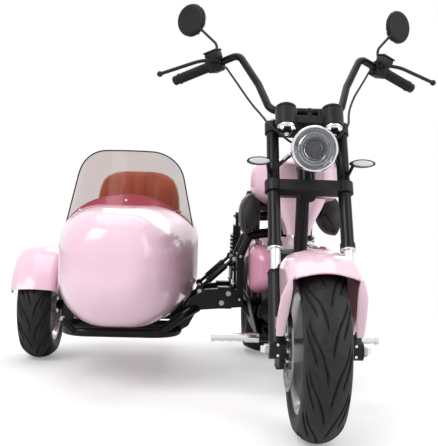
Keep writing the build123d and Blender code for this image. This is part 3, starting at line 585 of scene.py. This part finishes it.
PAD_CORNER = 0.28
CHANNELS = [-0.145, -0.087, -0.029, 0.029, 0.087, 0.145]
CHANNEL_DEPTH, CHANNEL_SPREAD = 0.010, 0.006


def quilted(bm, place, half_w, half_h, thick):
    """A pad with rounded edges and straight channels, as (x, z, forward) carried by place()."""
    for is_front in (True, False):
        form = bmesh.new()
        bmesh.ops.create_grid(form, x_segments=60, y_segments=44, size=1.0)
        for vert in form.verts:
            a, b = vert.co.x, vert.co.y
            x = half_w * a * sqrt(1 - PAD_CORNER * b ** 4)
            z = half_h * b * sqrt(1 - PAD_CORNER * a ** 4)
            rise = max(0.0, (1 - abs(a) ** 5) * (1 - abs(b) ** 5)) ** 0.45
            dent = sum(exp(-((x - at_x) / CHANNEL_SPREAD) ** 2) for at_x in CHANNELS) * CHANNEL_DEPTH
            vert.co = place(x, z, (thick - dent) * rise if is_front else -0.004 * rise)
        join(bm, form)
    bmesh.ops.remove_doubles(bm, verts=bm.verts[:], dist=1e-5)


BACKREST_W, BACKREST_TOP, BACKREST_Y = 0.362, 0.791, 1.434
SEAT_Z, SEAT_Y, SEAT_W, SEAT_L = 0.300, 1.160, 0.400, 0.420

# The cushion's border: height over the seat's foot, and how far it grows
BORDER_LAYERS = [(0.001, -0.006), (0.008, 0.0), (0.040, 0.0), (0.046, -0.006)]


def sidecar_seats():
    """The sidecar's tan cushion and its channelled backrest with pale piping round the edge."""
    middle = (SEAT_Z + BACKREST_TOP) / 2
    half_w, half_h = BACKREST_W / 2, (BACKREST_TOP - SEAT_Z) / 2
    def on_back(x, z, out):
        return at(SIDECAR_X + x, BACKREST_Y - 0.012 - out, middle + z)

    def on_seat(x, z, out):
        return at(SIDECAR_X + x, SEAT_Y + z, SEAT_Z + 0.045 + out)

    bm = bmesh.new()
    quilted(bm, on_back, half_w, half_h, 0.048)
    back = piece("backrest_padded", bm, "tan_leather", "chassis", replaces=("sidecar_backrest",))
    bm = bmesh.new()
    edge = []
    for k in range(97):
        t = 2 * pi * k / 96
        a, b = cos(t), sin(t)
        scale = 1 / max(abs(a), abs(b))
        a, b = a * scale, b * scale
        edge.append(at(SIDECAR_X + half_w * a * sqrt(1 - PAD_CORNER * b ** 4), BACKREST_Y - 0.013,
                       middle + half_h * b * sqrt(1 - PAD_CORNER * a ** 4)))
    rod(bm, edge, 0.0045, 8, caps=False)
    piece("backrest_piping", bm, "tan_leather", "chassis", material=PALE_PIPING)
    bm = bmesh.new()
    quilted(bm, on_seat, SEAT_W / 2, SEAT_L / 2, 0.062)
    cushion = piece("seat_padded", bm, "tan_leather", "chassis", replaces=("sidecar_seat",))
    bm = bmesh.new()
    rings = []
    for z, grow in BORDER_LAYERS:
        outline = rounded_ring(SEAT_W / 2 - 0.004 + grow, SEAT_L / 2 - 0.004 + grow, 7.0, 72)
        rings.append([at(SIDECAR_X + x, SEAT_Y + y, SEAT_Z + z) for x, y in outline])
    skin(bm, rings)
    piece("seat_border", bm, "tan_leather", "chassis")


saddle()
sidecar_seats()


# Windscreen, with the screws and the bead of the cowl band under it

GLASS_T = 0.004
SCREEN_FOOT, SCREEN_HEAD, SCREEN_TOP, SCREEN_CORNER = 0.250, 0.188, 0.838, 0.100
GLASS_FROM = 0.556
BAND_TOP, BAND_HALF, BAND_BEND = 0.672, 0.243, 0.327
BAND_SCREWS = ((-0.177, 0.609), (0.0, 0.650), (0.177, 0.609))

# The bowed sheet as it is constructed: its heights, half widths, and the y of its middle and its
# sides at the foot, each y with how far it leans back up to the head
SHEET_LOW, SHEET_HIGH = 0.540, 0.876
SHEET_HALF_LOW, SHEET_HALF_HIGH = 0.252, 0.190
SHEET_FRONT, FRONT_LEAN = 0.740, 0.120
SHEET_BACK, BACK_LEAN = 0.960, 0.080


def on_screen(x, z, off=0.0):
    """A point on the bowed windscreen, at a distance in front of it."""
    t = (z - SHEET_LOW) / (SHEET_HIGH - SHEET_LOW)
    half = SHEET_HALF_LOW + (SHEET_HALF_HIGH - SHEET_HALF_LOW) * t
    front = SHEET_FRONT + FRONT_LEAN * t - off
    back = SHEET_BACK + BACK_LEAN * t - off
    rise = back - front
    bend = (half * half + rise * rise) / (2 * rise)
    return at(SIDECAR_X + x, front + bend - sqrt(max(bend * bend - x * x, 0)), z)


def screen_half(z):
    """Half of the windscreen's width at a height: splayed sides that run into a rounded head."""
    t = (z - SHEET_LOW) / (SCREEN_TOP - SHEET_LOW)
    half = SCREEN_FOOT + (SCREEN_HEAD - SCREEN_FOOT) * t
    over = (z - (SCREEN_TOP - SCREEN_CORNER)) / SCREEN_CORNER
    return half - (SCREEN_CORNER * (1 - sqrt(max(0.0, 1 - over ** 2.4))) if over > 0 else 0.0)


def glass_height(t):
    """The height of a row of the glass, a share of the way up; rows are closer together near the head."""
    return GLASS_FROM + (SCREEN_TOP - GLASS_FROM) * (1 - (1 - t) ** 2.2)


def windscreen():
    """The tinted screen with its rounded head and dark edge, and the crimson band's screws and bead."""
    bm = bmesh.new()
    bmesh.ops.create_grid(bm, x_segments=36, y_segments=40, size=1.0)
    for vert in bm.verts:
        z = glass_height((vert.co.y + 1) / 2)
        vert.co = on_screen(vert.co.x * screen_half(z), z, -GLASS_T)
    bmesh.ops.recalc_face_normals(bm, faces=bm.faces[:])
    bmesh.ops.solidify(bm, geom=bm.faces[:], thickness=GLASS_T)
    piece("windscreen_sheet", bm, "smoke_screen", "chassis", replaces=("windscreen",))
    heights = [glass_height(k / 48) for k in range(49)]
    flat = screen_half(SCREEN_TOP)
    left = [(-screen_half(z), z) for z in heights]
    head = [(flat * (k / 8 - 1), SCREEN_TOP) for k in range(1, 16)]
    right = [(screen_half(z), z) for z in reversed(heights)]
    bm = bmesh.new()
    rod(bm, [on_screen(x, z, -GLASS_T / 2) for x, z in left + head + right], 0.0026, 10)
    piece("windscreen_edging", bm, "smoke_screen", "chassis", material=DARK_LENS)
    bm = bmesh.new()
    for x, z in BAND_SCREWS:
        spot = on_screen(x, z, 0.0028)
        cap_screw(bm, spot, spot - at(SIDECAR_X, 1.05, z), 0.011)
    piece("cowl_band_screws", bm, "chrome", "chassis")
    bm = bmesh.new()
    edge = []
    for k in range(49):
        x = -BAND_HALF + 2 * BAND_HALF * k / 48
        edge.append(on_screen(x, BAND_TOP - (BAND_BEND - sqrt(BAND_BEND ** 2 - x * x)) - 0.0012, 0.0022))
    rod(bm, edge, 0.0022, 8)
    piece("cowl_band_bead", bm, "crimson_trim", "chassis")


# Headlight, gauge pods and indicators

LAMP_Y, LAMP_Z = 0.114, 0.797
LAMP_SCREWS_R = 0.0655
POD_X, POD_AHEAD = 0.070, 0.062

# Along the fork from the axle: the pods' tops, their chrome rings, bolts and nuts, and the knob
POD_TOP, POD_BASE, POD_BOLTS, POD_NUT, KNOB_FOOT = 0.727, 0.656, 0.652, 0.637, 0.712


def headlight():
    """The lamp's chrome bezel and screws, its stepped reflector, dark projector lens and glass."""
    face = at(0, LAMP_Y, LAMP_Z)
    bm = bmesh.new()
    lathe(bm, face, AHEAD, [(-0.026, 0.0655), (-0.012, 0.0675), (0.002, 0.0672), (0.0065, 0.0640),
                            (0.0065, 0.0605), (0.001, 0.0575), (-0.008, 0.0568), (-0.012, 0.0600),
                            (-0.026, 0.0600)], 96, hollow=True)
    piece("headlight_bezel", bm, "chrome", "steering")
    bm = bmesh.new()
    lathe(bm, face, AHEAD, [(-0.0190, 0.0300), (-0.0060, 0.0330), (-0.0020, 0.0350), (-0.0040, 0.0375),
                            (-0.0110, 0.0390), (-0.0090, 0.0430), (-0.0035, 0.0445), (-0.0050, 0.0475),
                            (-0.0105, 0.0490), (-0.0080, 0.0525), (-0.0030, 0.0570), (-0.0200, 0.0572)],
          96, hollow=True)
    lathe(bm, face, AHEAD, [(-0.014, 0.0310), (0.0025, 0.0315), (0.0050, 0.0295), (0.0015, 0.0275),
                            (-0.014, 0.0274)], 72, hollow=True)
    piece("headlight_reflector", bm, "chrome", "steering", material=REFLECTOR)
    bm = bmesh.new()
    lathe(bm, face, AHEAD, [(-0.014, 0.0272), (-0.004, 0.0272), (0.0015, 0.0240), (0.0050, 0.0150),
                            (0.0062, 0.0050)], 56)
    piece("headlight_projector", bm, "lamp_glass", "steering", material=DARK_LENS)
    bm = bmesh.new()
    lathe(bm, face, AHEAD, [(0.0068, 0.0200), (0.0052, 0.0400), (0.0030, 0.0572), (0.0045, 0.0572),
                            (0.0068, 0.0400), (0.0084, 0.0200)], 72)
    piece("headlight_glass", bm, "lamp_glass", "steering", replaces=("headlight_lens",))
    bm = bmesh.new()
    for t in turns(3):
        spot = face + (ACROSS * sin(t + 0.5) + UP * cos(t + 0.5)) * LAMP_SCREWS_R
        cap_screw(bm, spot, AHEAD, 0.006)
    for side in (-1, 1):
        hex_head(bm, at(side * 0.064, LAMP_Y + 0.045, LAMP_Z - 0.010), ACROSS * side, 0.014)
    piece("headlight_screws", bm, "chrome", "steering")


def gauge_pods():
    """Rims, glasses and dials on the pods, chrome nuts and bolts under them, and the knob between them."""
    rims, bright, dials, glass, marks = (bmesh.new() for _ in range(5))
    for side in (-1, 1):
        top = fork(side * POD_X, POD_TOP, POD_AHEAD)
        lathe(rims, top, FORK_UP, [(-0.004, 0.0302), (-0.003, 0.0318), (0.003, 0.0316), (0.0048, 0.0300),
                                   (0.004, 0.0278), (0.0005, 0.0274)], 64, hollow=True)
        lathe(dials, top, FORK_UP, [(0.0002, 0.0275), (0.0020, 0.0275)], 48)
        lathe(glass, top, FORK_UP, [(0.0018, 0.0276), (0.0024, 0.0276), (0.0036, 0.0180),
                                    (0.0038, 0.0060)], 48)
        for k in range(21):
            t = radians(-130 + 13 * k)
            out = ACROSS * sin(t) + FORK_AHEAD * cos(t)
            long = 0.0060 if k % 5 == 0 else 0.0034
            spot = top + FORK_UP * 0.0021
            rod(marks, [spot + out * 0.0250, spot + out * (0.0250 - long)], 0.0004, 4)
        needle = ACROSS * sin(radians(-118)) + FORK_AHEAD * cos(radians(-118))
        rod(marks, [top + FORK_UP * 0.0022 - needle * 0.004, top + FORK_UP * 0.0022 + needle * 0.020],
            [0.0010, 0.0003], 6)
        base = fork(side * POD_X, POD_BASE, POD_AHEAD)
        lathe(bright, base, -FORK_UP, [(-0.0065, 0.0290), (-0.002, 0.0290), (0.0025, 0.0262),
                                       (0.0045, 0.0225), (0.0045, 0.0190), (-0.0065, 0.0190)],
              64, hollow=True)
        for way in (-1, 1):
            spot = fork(side * POD_X + way * 0.016, POD_BOLTS, POD_AHEAD + 0.012)
            lathe(bright, spot, FORK_AHEAD - FORK_UP * 0.5, [(-0.004, 0.0062), (0.004, 0.0066),
                                                             (0.0085, 0.0050), (0.0100, 0.0022)], 20)
        hex_head(bright, fork(side * POD_X, POD_NUT, POD_AHEAD), -FORK_UP, 0.015)
    piece("gauge_rims", rims, "satin_black", "steering")
    piece("gauge_bolts", bright, "chrome", "steering")
    piece("gauge_dials", dials, "black_plastic", "steering", material=DARK_LENS)
    piece("gauge_glasses", glass, "lamp_glass", "steering")
    piece("gauge_marks", marks, "alloy", "steering", material=CLEAR_LENS)
    bm = bmesh.new()
    knob = fork(0, KNOB_FOOT, POD_AHEAD + 0.004)
    lathe(bm, knob, FORK_UP, [(-0.001, 0.0070), (0.002, 0.0105), (0.010, 0.0105), (0.0125, 0.0080)], 24)
    piece("gauge_knob", bm, "black_plastic", "steering")


INDICATOR_X, INDICATOR_Y, INDICATOR_Z = 0.152, 0.185, 0.764
LENS_HALF_W, LENS_HALF_H = 0.034, 0.0105

# The lens's rings: rise from the indicator's face, and share of the full outline
LENS_RINGS = ((-0.001, 0.90), (0.0012, 0.88), (0.0035, 0.78), (0.0048, 0.5), (0.0052, 0.02))


def indicators():
    """A lens set in the face of each leaf-shaped indicator."""
    bm = bmesh.new()
    for side in (-1, 1):
        centre = at(side * INDICATOR_X, INDICATOR_Y - 0.0141, INDICATOR_Z)
        rings = []
        for rise, size in LENS_RINGS:
            rings.append([centre + ACROSS * LENS_HALF_W * size * cos(t) + UP * LENS_HALF_H * size * sin(t)
                          + AHEAD * rise for t in turns(48)])
        skin(bm, rings)
    piece("indicator_lenses", bm, "lamp_glass", "steering", material=CLEAR_LENS)


# Bars: ribbed grips, levers' pivots, reservoirs, switches and mirror glasses

BAR_END, BAR_BEND = (0.398, 0.630, 1.077), (0.203, 0.500, 1.139)
GRIP_L, CONTROL_L = 0.122, 0.052
GRIP_RIBS, RIB_PITCH = 19, 0.0056
SWITCHES = (-0.010, 0.004, 0.015)
MIRROR_AT, MIRROR_YAW, MIRROR_T = (0.367, 0.650, 1.287), 34.0, 0.018


def grip_profile():
    """The grip's outline from its flange past its ribs to its end, as (along the bar, radius)."""
    profile = [(0.0, 0.0128), (0.0, 0.0215), (0.004, 0.0225), (0.006, 0.0200), (0.008, 0.0165)]
    for k in range(GRIP_RIBS):
        start = 0.010 + k * RIB_PITCH
        profile += [(start, 0.0162), (start + 0.0012, 0.0175),
                    (start + 0.0034, 0.0175), (start + 0.0046, 0.0162)]
    return profile + [(0.1195, 0.0165), (0.122, 0.0190), (0.126, 0.0190), (0.128, 0.0128)]


def bars():
    """Everything that is fixed to the handlebar's two ends."""
    rubber_parts, metal, plastic, glass, bright = (bmesh.new() for _ in range(5))
    switches = bmesh.new()
    for side in (-1, 1):
        end, bend, mirror = (at(side * x, y, z) for x, y, z in (BAR_END, BAR_BEND, MIRROR_AT))
        along = (end - bend).normalized()
        inner = end - along * GRIP_L
        control = inner - along * CONTROL_L
        lathe(rubber_parts, inner, along, grip_profile(), 36)
        lathe(metal, end + along * 0.006, along, [(0, 0.0125), (0.001, 0.0165), (0.018, 0.0170),
                                                  (0.021, 0.0140), (0.0215, 0.0)], 32)
        forward = (AHEAD - along * AHEAD.dot(along)).normalized()
        up = along.cross(forward) * (1 if along.cross(forward).z > 0 else -1)
        turn = Matrix((along, forward, up)).transposed().to_4x4()
        middle = (control + inner) / 2
        rounded_block(plastic, middle - forward * 0.001 - up * 0.002, (0.044, 0.050, 0.050), 0.009, turn)
        tank = middle - along * 0.020 + forward * 0.036 + up * 0.020
        rounded_block(metal, tank, (0.052, 0.036, 0.026), 0.006, turn)
        rounded_block(plastic, tank + up * 0.0155, (0.054, 0.038, 0.006), 0.002, turn)
        for a in (-0.019, 0.019):
            cap_screw(bright, tank + up * 0.0185 + along * a, up, 0.006)
        pivot = control + Vector((side * 0.014, -0.030, 0))
        cap_screw(bright, pivot + up * 0.006, up, 0.011)
        for a in SWITCHES:
            switch = middle + along * a - forward * 0.026 + up * 0.004
            rounded_block(switches, switch, (0.009, 0.006, 0.010), 0.002, turn)
        direction = Vector((side * sin(radians(MIRROR_YAW)), -cos(radians(MIRROR_YAW)), 0))
        back = mirror - direction * (MIRROR_T / 2)
        lathe(glass, back, -direction, [(-0.001, 0.0), (-0.001, 0.0515), (0.0008, 0.0515), (0.0010, 0.0)], 64)
        lathe(bright, back, -direction, [(-0.001, 0.0520), (0.0022, 0.0535), (0.0030, 0.0560),
                                         (0.0010, 0.0576), (-0.004, 0.0576)], 72)
        hex_head(metal, inner - along * (CONTROL_L - 0.030) + Vector((0, 0, 0.0225)), UP, 0.016)
    piece("grips_ribbed", rubber_parts, "grip_rubber", "steering", replaces=("grips",))
    piece("bar_ends_and_reservoirs", metal, "satin_black", "steering")
    piece("switch_housings", plastic, "black_plastic", "steering")
    piece("switch_buttons", switches, "red_lens", "steering")
    piece("mirror_glasses", glass, "chrome", "steering", material=MIRROR_GLASS)
    piece("control_screws_and_bezels", bright, "chrome", "steering")


# Front fender: rolled flanges down its front edges, and its red inside

FLANGE_WAY = [
    # x of the middle, behind the axle, height, half width
    (0.090, -0.144, 0.446, 0.004), (0.093, -0.135, 0.424, 0.010), (0.098, -0.121, 0.398, 0.014),
    (0.102, -0.094, 0.350, 0.014), (0.105, -0.074, 0.310, 0.012), (0.106, -0.067, 0.291, 0.010),
]
# The lining's section in (x, radius about the axle): a side, a bend about a point, and the crown
LINING_BEND, BEND_X, BEND_R = 0.0368, 0.055, 0.2194
LINING_SIDE = [
    (0.0918, 0.100),
    (0.0918, 0.219),
    *((BEND_X + LINING_BEND * cos(radians(t)), BEND_R + LINING_BEND * sin(radians(t)))
      for t in (20, 40, 60, 74)),
    (0.030, 0.2640),
]
LINING = LINING_SIDE + [(0.0, 0.2680)] + [(-x, r) for x, r in reversed(LINING_SIDE)]
LINING_AHEAD, LINING_SWEEP, LINING_T = radians(33), radians(50), 0.0008


def fender_flanges():
    """The pink flanges down the hood's front edges, and the red lining over the tyre."""
    pink, red = bmesh.new(), bmesh.new()
    for side in (-1, 1):
        rings = []
        for k, (x, y, z, half) in enumerate(FLANGE_WAY):
            before, after = FLANGE_WAY[max(k - 1, 0)], FLANGE_WAY[min(k + 1, len(FLANGE_WAY) - 1)]
            way = Vector((0, after[1] - before[1], after[2] - before[2])).normalized()
            out = way.cross(ACROSS)
            rings.append([at(side * x, y, z) + ACROSS * a + out * b
                          for a, b in rounded_ring(half, 0.0035, 3.5, 24)])
        skin(pink, rings)
    piece("front_fender_flanges", pink, "pink_paint", "steering", crease=60)
    way = Vector((0, -sin(LINING_AHEAD), cos(LINING_AHEAD)))
    verts, edges = line(red, [FRONT_AXLE + Vector((x, 0, 0)) + way * r for x, r in LINING])
    bmesh.ops.spin(red, geom=verts + edges, cent=FRONT_AXLE, axis=-ACROSS, angle=LINING_SWEEP, steps=24)
    bmesh.ops.recalc_face_normals(red, faces=red.faces[:])
    bmesh.ops.solidify(red, geom=red.faces[:], thickness=LINING_T)
    piece("front_fender_lining", red, "crimson_trim", "steering", material=INNER_RED)


# Fork, wheels and frame hardware

SEALS = ((0.215, 0.0225), (0.222, 0.0190))
RING_AT = 0.292
AXLE_NUT_X, AXLE_CLAMP_Y = 0.138, -0.0245


def fork_hardware():
    """Caps and pinch bolts on the clamps, seals on the legs, and nuts on the front axle."""
    bright, dark = bmesh.new(), bmesh.new()
    for side in (-1, 1):
        cap = [(-0.001, 0.0190), (0.003, 0.0190), (0.006, 0.0160), (0.0065, 0.0)]
        lathe(bright, fork(side * FORK_X, COVER_TOP), FORK_UP, cap, 40)
        hex_head(bright, fork(side * FORK_X, COVER_TOP + 0.0060), FORK_UP, 0.020, 0.008)
        for along, lift in ((UPPER_CLAMP_AT, 0.0), (LOWER_CLAMP_AT, -0.008), (LOWER_CLAMP_AT, 0.008)):
            cap_screw(dark, fork(side * (FORK_X - 0.024), along + lift, -0.0205), -FORK_AHEAD, 0.0095)
        for start, radius in SEALS:
            lip = radius + 0.001
            seal = [(-0.001, radius - 0.001), (0.001, lip), (0.005, lip), (0.007, 0.0150)]
            lathe(dark, fork(side * FORK_X, start), FORK_UP, seal, 40)
        ring = [(-0.0015, 0.0205), (0.0, 0.0226), (0.0030, 0.0226), (0.0040, 0.0220)]
        lathe(bright, fork(side * FORK_X, RING_AT), FORK_UP, ring, 40)
        hex_head(bright, FRONT_AXLE + ACROSS * side * AXLE_NUT_X, ACROSS * side, 0.021)
        for z in (-0.012, 0.016):
            cap_screw(bright, FRONT_AXLE + Vector((side * FORK_X, AXLE_CLAMP_Y, z)), AHEAD, 0.009)
    stem = fork(0, UPPER_CLAMP_AT + CLAMP_T / 2, -STEM_BEHIND)
    lathe(bright, stem, FORK_UP, [(-0.001, 0.0190), (0.004, 0.0190), (0.006, 0.0160), (0.006, 0.0155)], 40)
    hex_head(bright, fork(0, UPPER_CLAMP_AT + 0.0275, -STEM_BEHIND), FORK_UP, 0.024, 0.010)
    piece("fork_bolts_and_caps", bright, "chrome", "steering")
    piece("fork_seals", dark, "grip_rubber", "steering")


# Places along each axle
DISC_X = -0.078
MOTOR_COVER_X, MOTOR_DISC_X = 0.070, -0.090
SIDE_HUB_X, SIDE_NUT_X = -0.052, -0.076
VALVE_RISE = 0.016


def ray(t):
    """A direction square to the axles, at an angle from straight up."""
    return Vector((0, sin(t), cos(t)))


def wheel_hardware():
    """Disc bolts, hub nuts and tyre valves, and the cover screws of the hub motor."""
    front, rear, side = bmesh.new(), bmesh.new(), bmesh.new()
    for k in range(6):
        way = ray(2 * pi * (k + 0.5) / 6)
        cap_screw(front, FRONT_AXLE + Vector((DISC_X, 0, 0)) + way * 0.034, -ACROSS, 0.010)
        cap_screw(rear, REAR_AXLE + Vector((MOTOR_COVER_X, 0, 0)) + way * 0.078, ACROSS, 0.009)
        cap_screw(rear, REAR_AXLE + Vector((MOTOR_DISC_X, 0, 0)) + way * 0.036, -ACROSS, 0.009)
    for t in turns(5):
        cap_screw(side, SIDE_AXLE + Vector((SIDE_HUB_X, 0, 0)) + ray(t) * 0.024, -ACROSS, 0.008)
    hex_head(side, SIDE_AXLE + Vector((SIDE_NUT_X, 0, 0)), -ACROSS, 0.022)
    wheels = ((front, FRONT_AXLE, FRONT_TYRE, 0.030), (rear, REAR_AXLE, REAR_TYRE, 0.060),
              (side, SIDE_AXLE, SIDE_TYRE, -0.035))
    for bm, axle, sizes, x in wheels:
        foot = axle + Vector((x, 0, -(sizes[2] - VALVE_RISE)))
        way = UP + ACROSS * copysign(0.5, x)
        lathe(bm, foot, way, [(0, 0.0035), (0.012, 0.0035), (0.022, 0.0026), (0.024, 0.0)], 14)
    piece("front_wheel_screws", front, "steel", "front_wheel")
    piece("hub_motor_screws", rear, "steel", "rear_wheel")
    piece("sidecar_wheel_nuts", side, "chrome", "sidecar_wheel")


ARMS_Y = (0.740, 1.000)
ADJUSTER_X, ADJUSTER_Z, THREAD_PITCH = -0.190, 0.345, 0.005
SHOCK_BOLTS = ((1.310, 0.275), (1.230, 0.606))
BODY_MOUNTS_Y, BODY_MOUNT_X = (0.800, 1.400), 0.220


def frame_hardware():
    """Nuts on the rear axle and shocks, and the bolts and threads of the sidecar's arms and mounts."""
    bm = bmesh.new()
    for side in (-1, 1):
        hex_head(bm, REAR_AXLE + ACROSS * side * 0.160, ACROSS * side, 0.022)
        for y, z in SHOCK_BOLTS:
            hex_head(bm, at(side * 0.163, y, z), ACROSS * side, 0.016)
    for y in ARMS_Y:
        for x, z in ((-0.232, 0.288), (-0.208, 0.322)):
            for way in (-1, 1):
                hex_head(bm, at(x, y + way * 0.034, z), Vector((0, way, 0)), 0.015)
        for z in (0.300, 0.456):
            for way in (-1, 1):
                cap_screw(bm, at(-0.1665, y + way * 0.024, z), Vector((0, way, 0)), 0.012)
        for x, z in ((-0.312, 0.326), (-0.189, 0.446)):
            for way in (-1, 1):
                hex_head(bm, at(x, y + way * 0.011, z), Vector((0, way, 0)), 0.013)
        for k in range(12):
            thread = at(ADJUSTER_X, y, ADJUSTER_Z + THREAD_PITCH * k)
            lathe(bm, thread, UP, [(0, 0.0050), (0.0018, 0.0058), (0.0036, 0.0050)], 14)
        hex_head(bm, at(ADJUSTER_X, y, 0.352), UP, 0.018, 0.008)
    hex_head(bm, at(SIDECAR_X - 0.198, 0.6355, 0.225), (UP + AHEAD * 0.2).normalized(), 0.018)
    for y in BODY_MOUNTS_Y:
        for side in (-1, 1):
            cap_screw(bm, at(SIDECAR_X + side * BODY_MOUNT_X, y, 0.215), ACROSS * side, 0.011)
    piece("frame_bolts", bm, "steel", "chassis")


windscreen()
fender_flanges()
headlight()
gauge_pods()
indicators()
bars()
fork_hardware()
wheel_hardware()
frame_hardware()


# The studio

SKY_LIGHT = 0.60
FLOOR_GLOW = 0.25


def sky():
    """Plain white behind the outfit, and an even light all round it."""
    world = bpy.data.worlds.new("studio")
    bpy.context.scene.world = world
    world.use_nodes = True
    nodes, links = world.node_tree.nodes, world.node_tree.links
    nodes.clear()
    path = nodes.new("ShaderNodeLightPath")
    seen = path.outputs["Is Camera Ray"]
    for ray in ("Is Glossy Ray", "Is Transmission Ray"):
        either = nodes.new("ShaderNodeMath")
        either.operation = "MAXIMUM"
        links.new(seen, either.inputs[0])
        links.new(path.outputs[ray], either.inputs[1])
        seen = either.outputs[0]
    strength = nodes.new("ShaderNodeMapRange")
    strength.inputs["To Min"].default_value = SKY_LIGHT
    strength.inputs["To Max"].default_value = 1.0
    links.new(seen, strength.inputs["Value"])
    background = nodes.new("ShaderNodeBackground")
    background.inputs["Color"].default_value = (1, 1, 1, 1)
    links.new(strength.outputs[0], background.inputs["Strength"])
    output = nodes.new("ShaderNodeOutputWorld")
    links.new(background.outputs[0], output.inputs["Surface"])


def floor():
    """A white floor that keeps the outfit's shadow and runs into the white behind it."""
    mesh = bpy.data.meshes.new("floor")
    bm = bmesh.new()
    bmesh.ops.create_grid(bm, x_segments=1, y_segments=1, size=30)
    bm.to_mesh(mesh)
    bm.free()
    sheet = bpy.data.objects.new("floor", mesh)
    bpy.context.scene.collection.objects.link(sheet)
    f = Finish("floor")
    cloud = f.ramp(f.noise(3), (0.3, (0.86, 0.86, 0.86)), (0.7, (0.88, 0.88, 0.88)))
    matt = f.node("ShaderNodeBsdfDiffuse", {}, {"Color": cloud})
    glow = f.node("ShaderNodeEmission", {}, {"Strength": FLOOR_GLOW})
    plain = f.node("ShaderNodeEmission", {}, {"Strength": 1.0})
    lit = f.node("ShaderNodeAddShader", {}, {0: matt, 1: glow})
    seen = f.node("ShaderNodeLightPath", output="Is Camera Ray")
    away = f.node("ShaderNodeVectorMath", {"operation": "LENGTH"}, {0: f.place}, "Value")
    far = f.level(away, 0.0, 1.0, 1.5, 2.6)
    shown = f.node("ShaderNodeMixShader", {}, {0: far, 1: lit, 2: plain})
    surface = f.node("ShaderNodeMixShader", {}, {0: seen, 1: matt, 2: shown})
    f.node("ShaderNodeOutputMaterial", {}, {"Surface": surface})
    mesh.materials.append(f.material)


def soft_light(name, place, target, size, power):
    """A softbox that looks at a point."""
    lamp = bpy.data.lights.new(name, "AREA")
    lamp.shape = "RECTANGLE"
    lamp.size, lamp.size_y = size
    lamp.energy = power
    box = bpy.data.objects.new(name, lamp)
    bpy.context.scene.collection.objects.link(box)
    box.location = place
    box.rotation_euler = (Vector(target) - Vector(place)).to_track_quat("-Z", "Y").to_euler()


def camera():
    """The photograph's camera."""
    eye = bpy.data.cameras.new("camera")
    eye.sensor_width = SENSOR
    eye.lens = FOCAL_PX * SENSOR / PHOTO_H
    body = bpy.data.objects.new("camera", eye)
    bpy.context.scene.collection.objects.link(body)
    body.location = at(*CAMERA_AT)
    yaw = Matrix.Rotation(-radians(CAMERA_YAW), 4, "Z")
    pitch = Matrix.Rotation(pi / 2 + radians(CAMERA_PITCH), 4, "X")
    roll = Matrix.Rotation(radians(CAMERA_ROLL), 4, "Z")
    body.rotation_euler = (yaw @ pitch @ roll).to_euler()
    bpy.context.scene.camera = body


sky()
floor()
soft_light("key", (-2.2, -3.0, 3.2), (0, 0, 0.4), (2.2, 2.2), 84)
soft_light("fill", (3.0, -2.2, 2.0), (0, 0, 0.5), (2.0, 2.6), 45)
soft_light("top", (0.0, 0.6, 3.6), (0, 0, 0.4), (3.0, 3.0), 44)
soft_light("back", (0.5, 3.6, 2.4), (0, 0, 0.6), (3.0, 1.6), 45)
camera()
bpy.context.scene.view_settings.view_transform = "Standard"
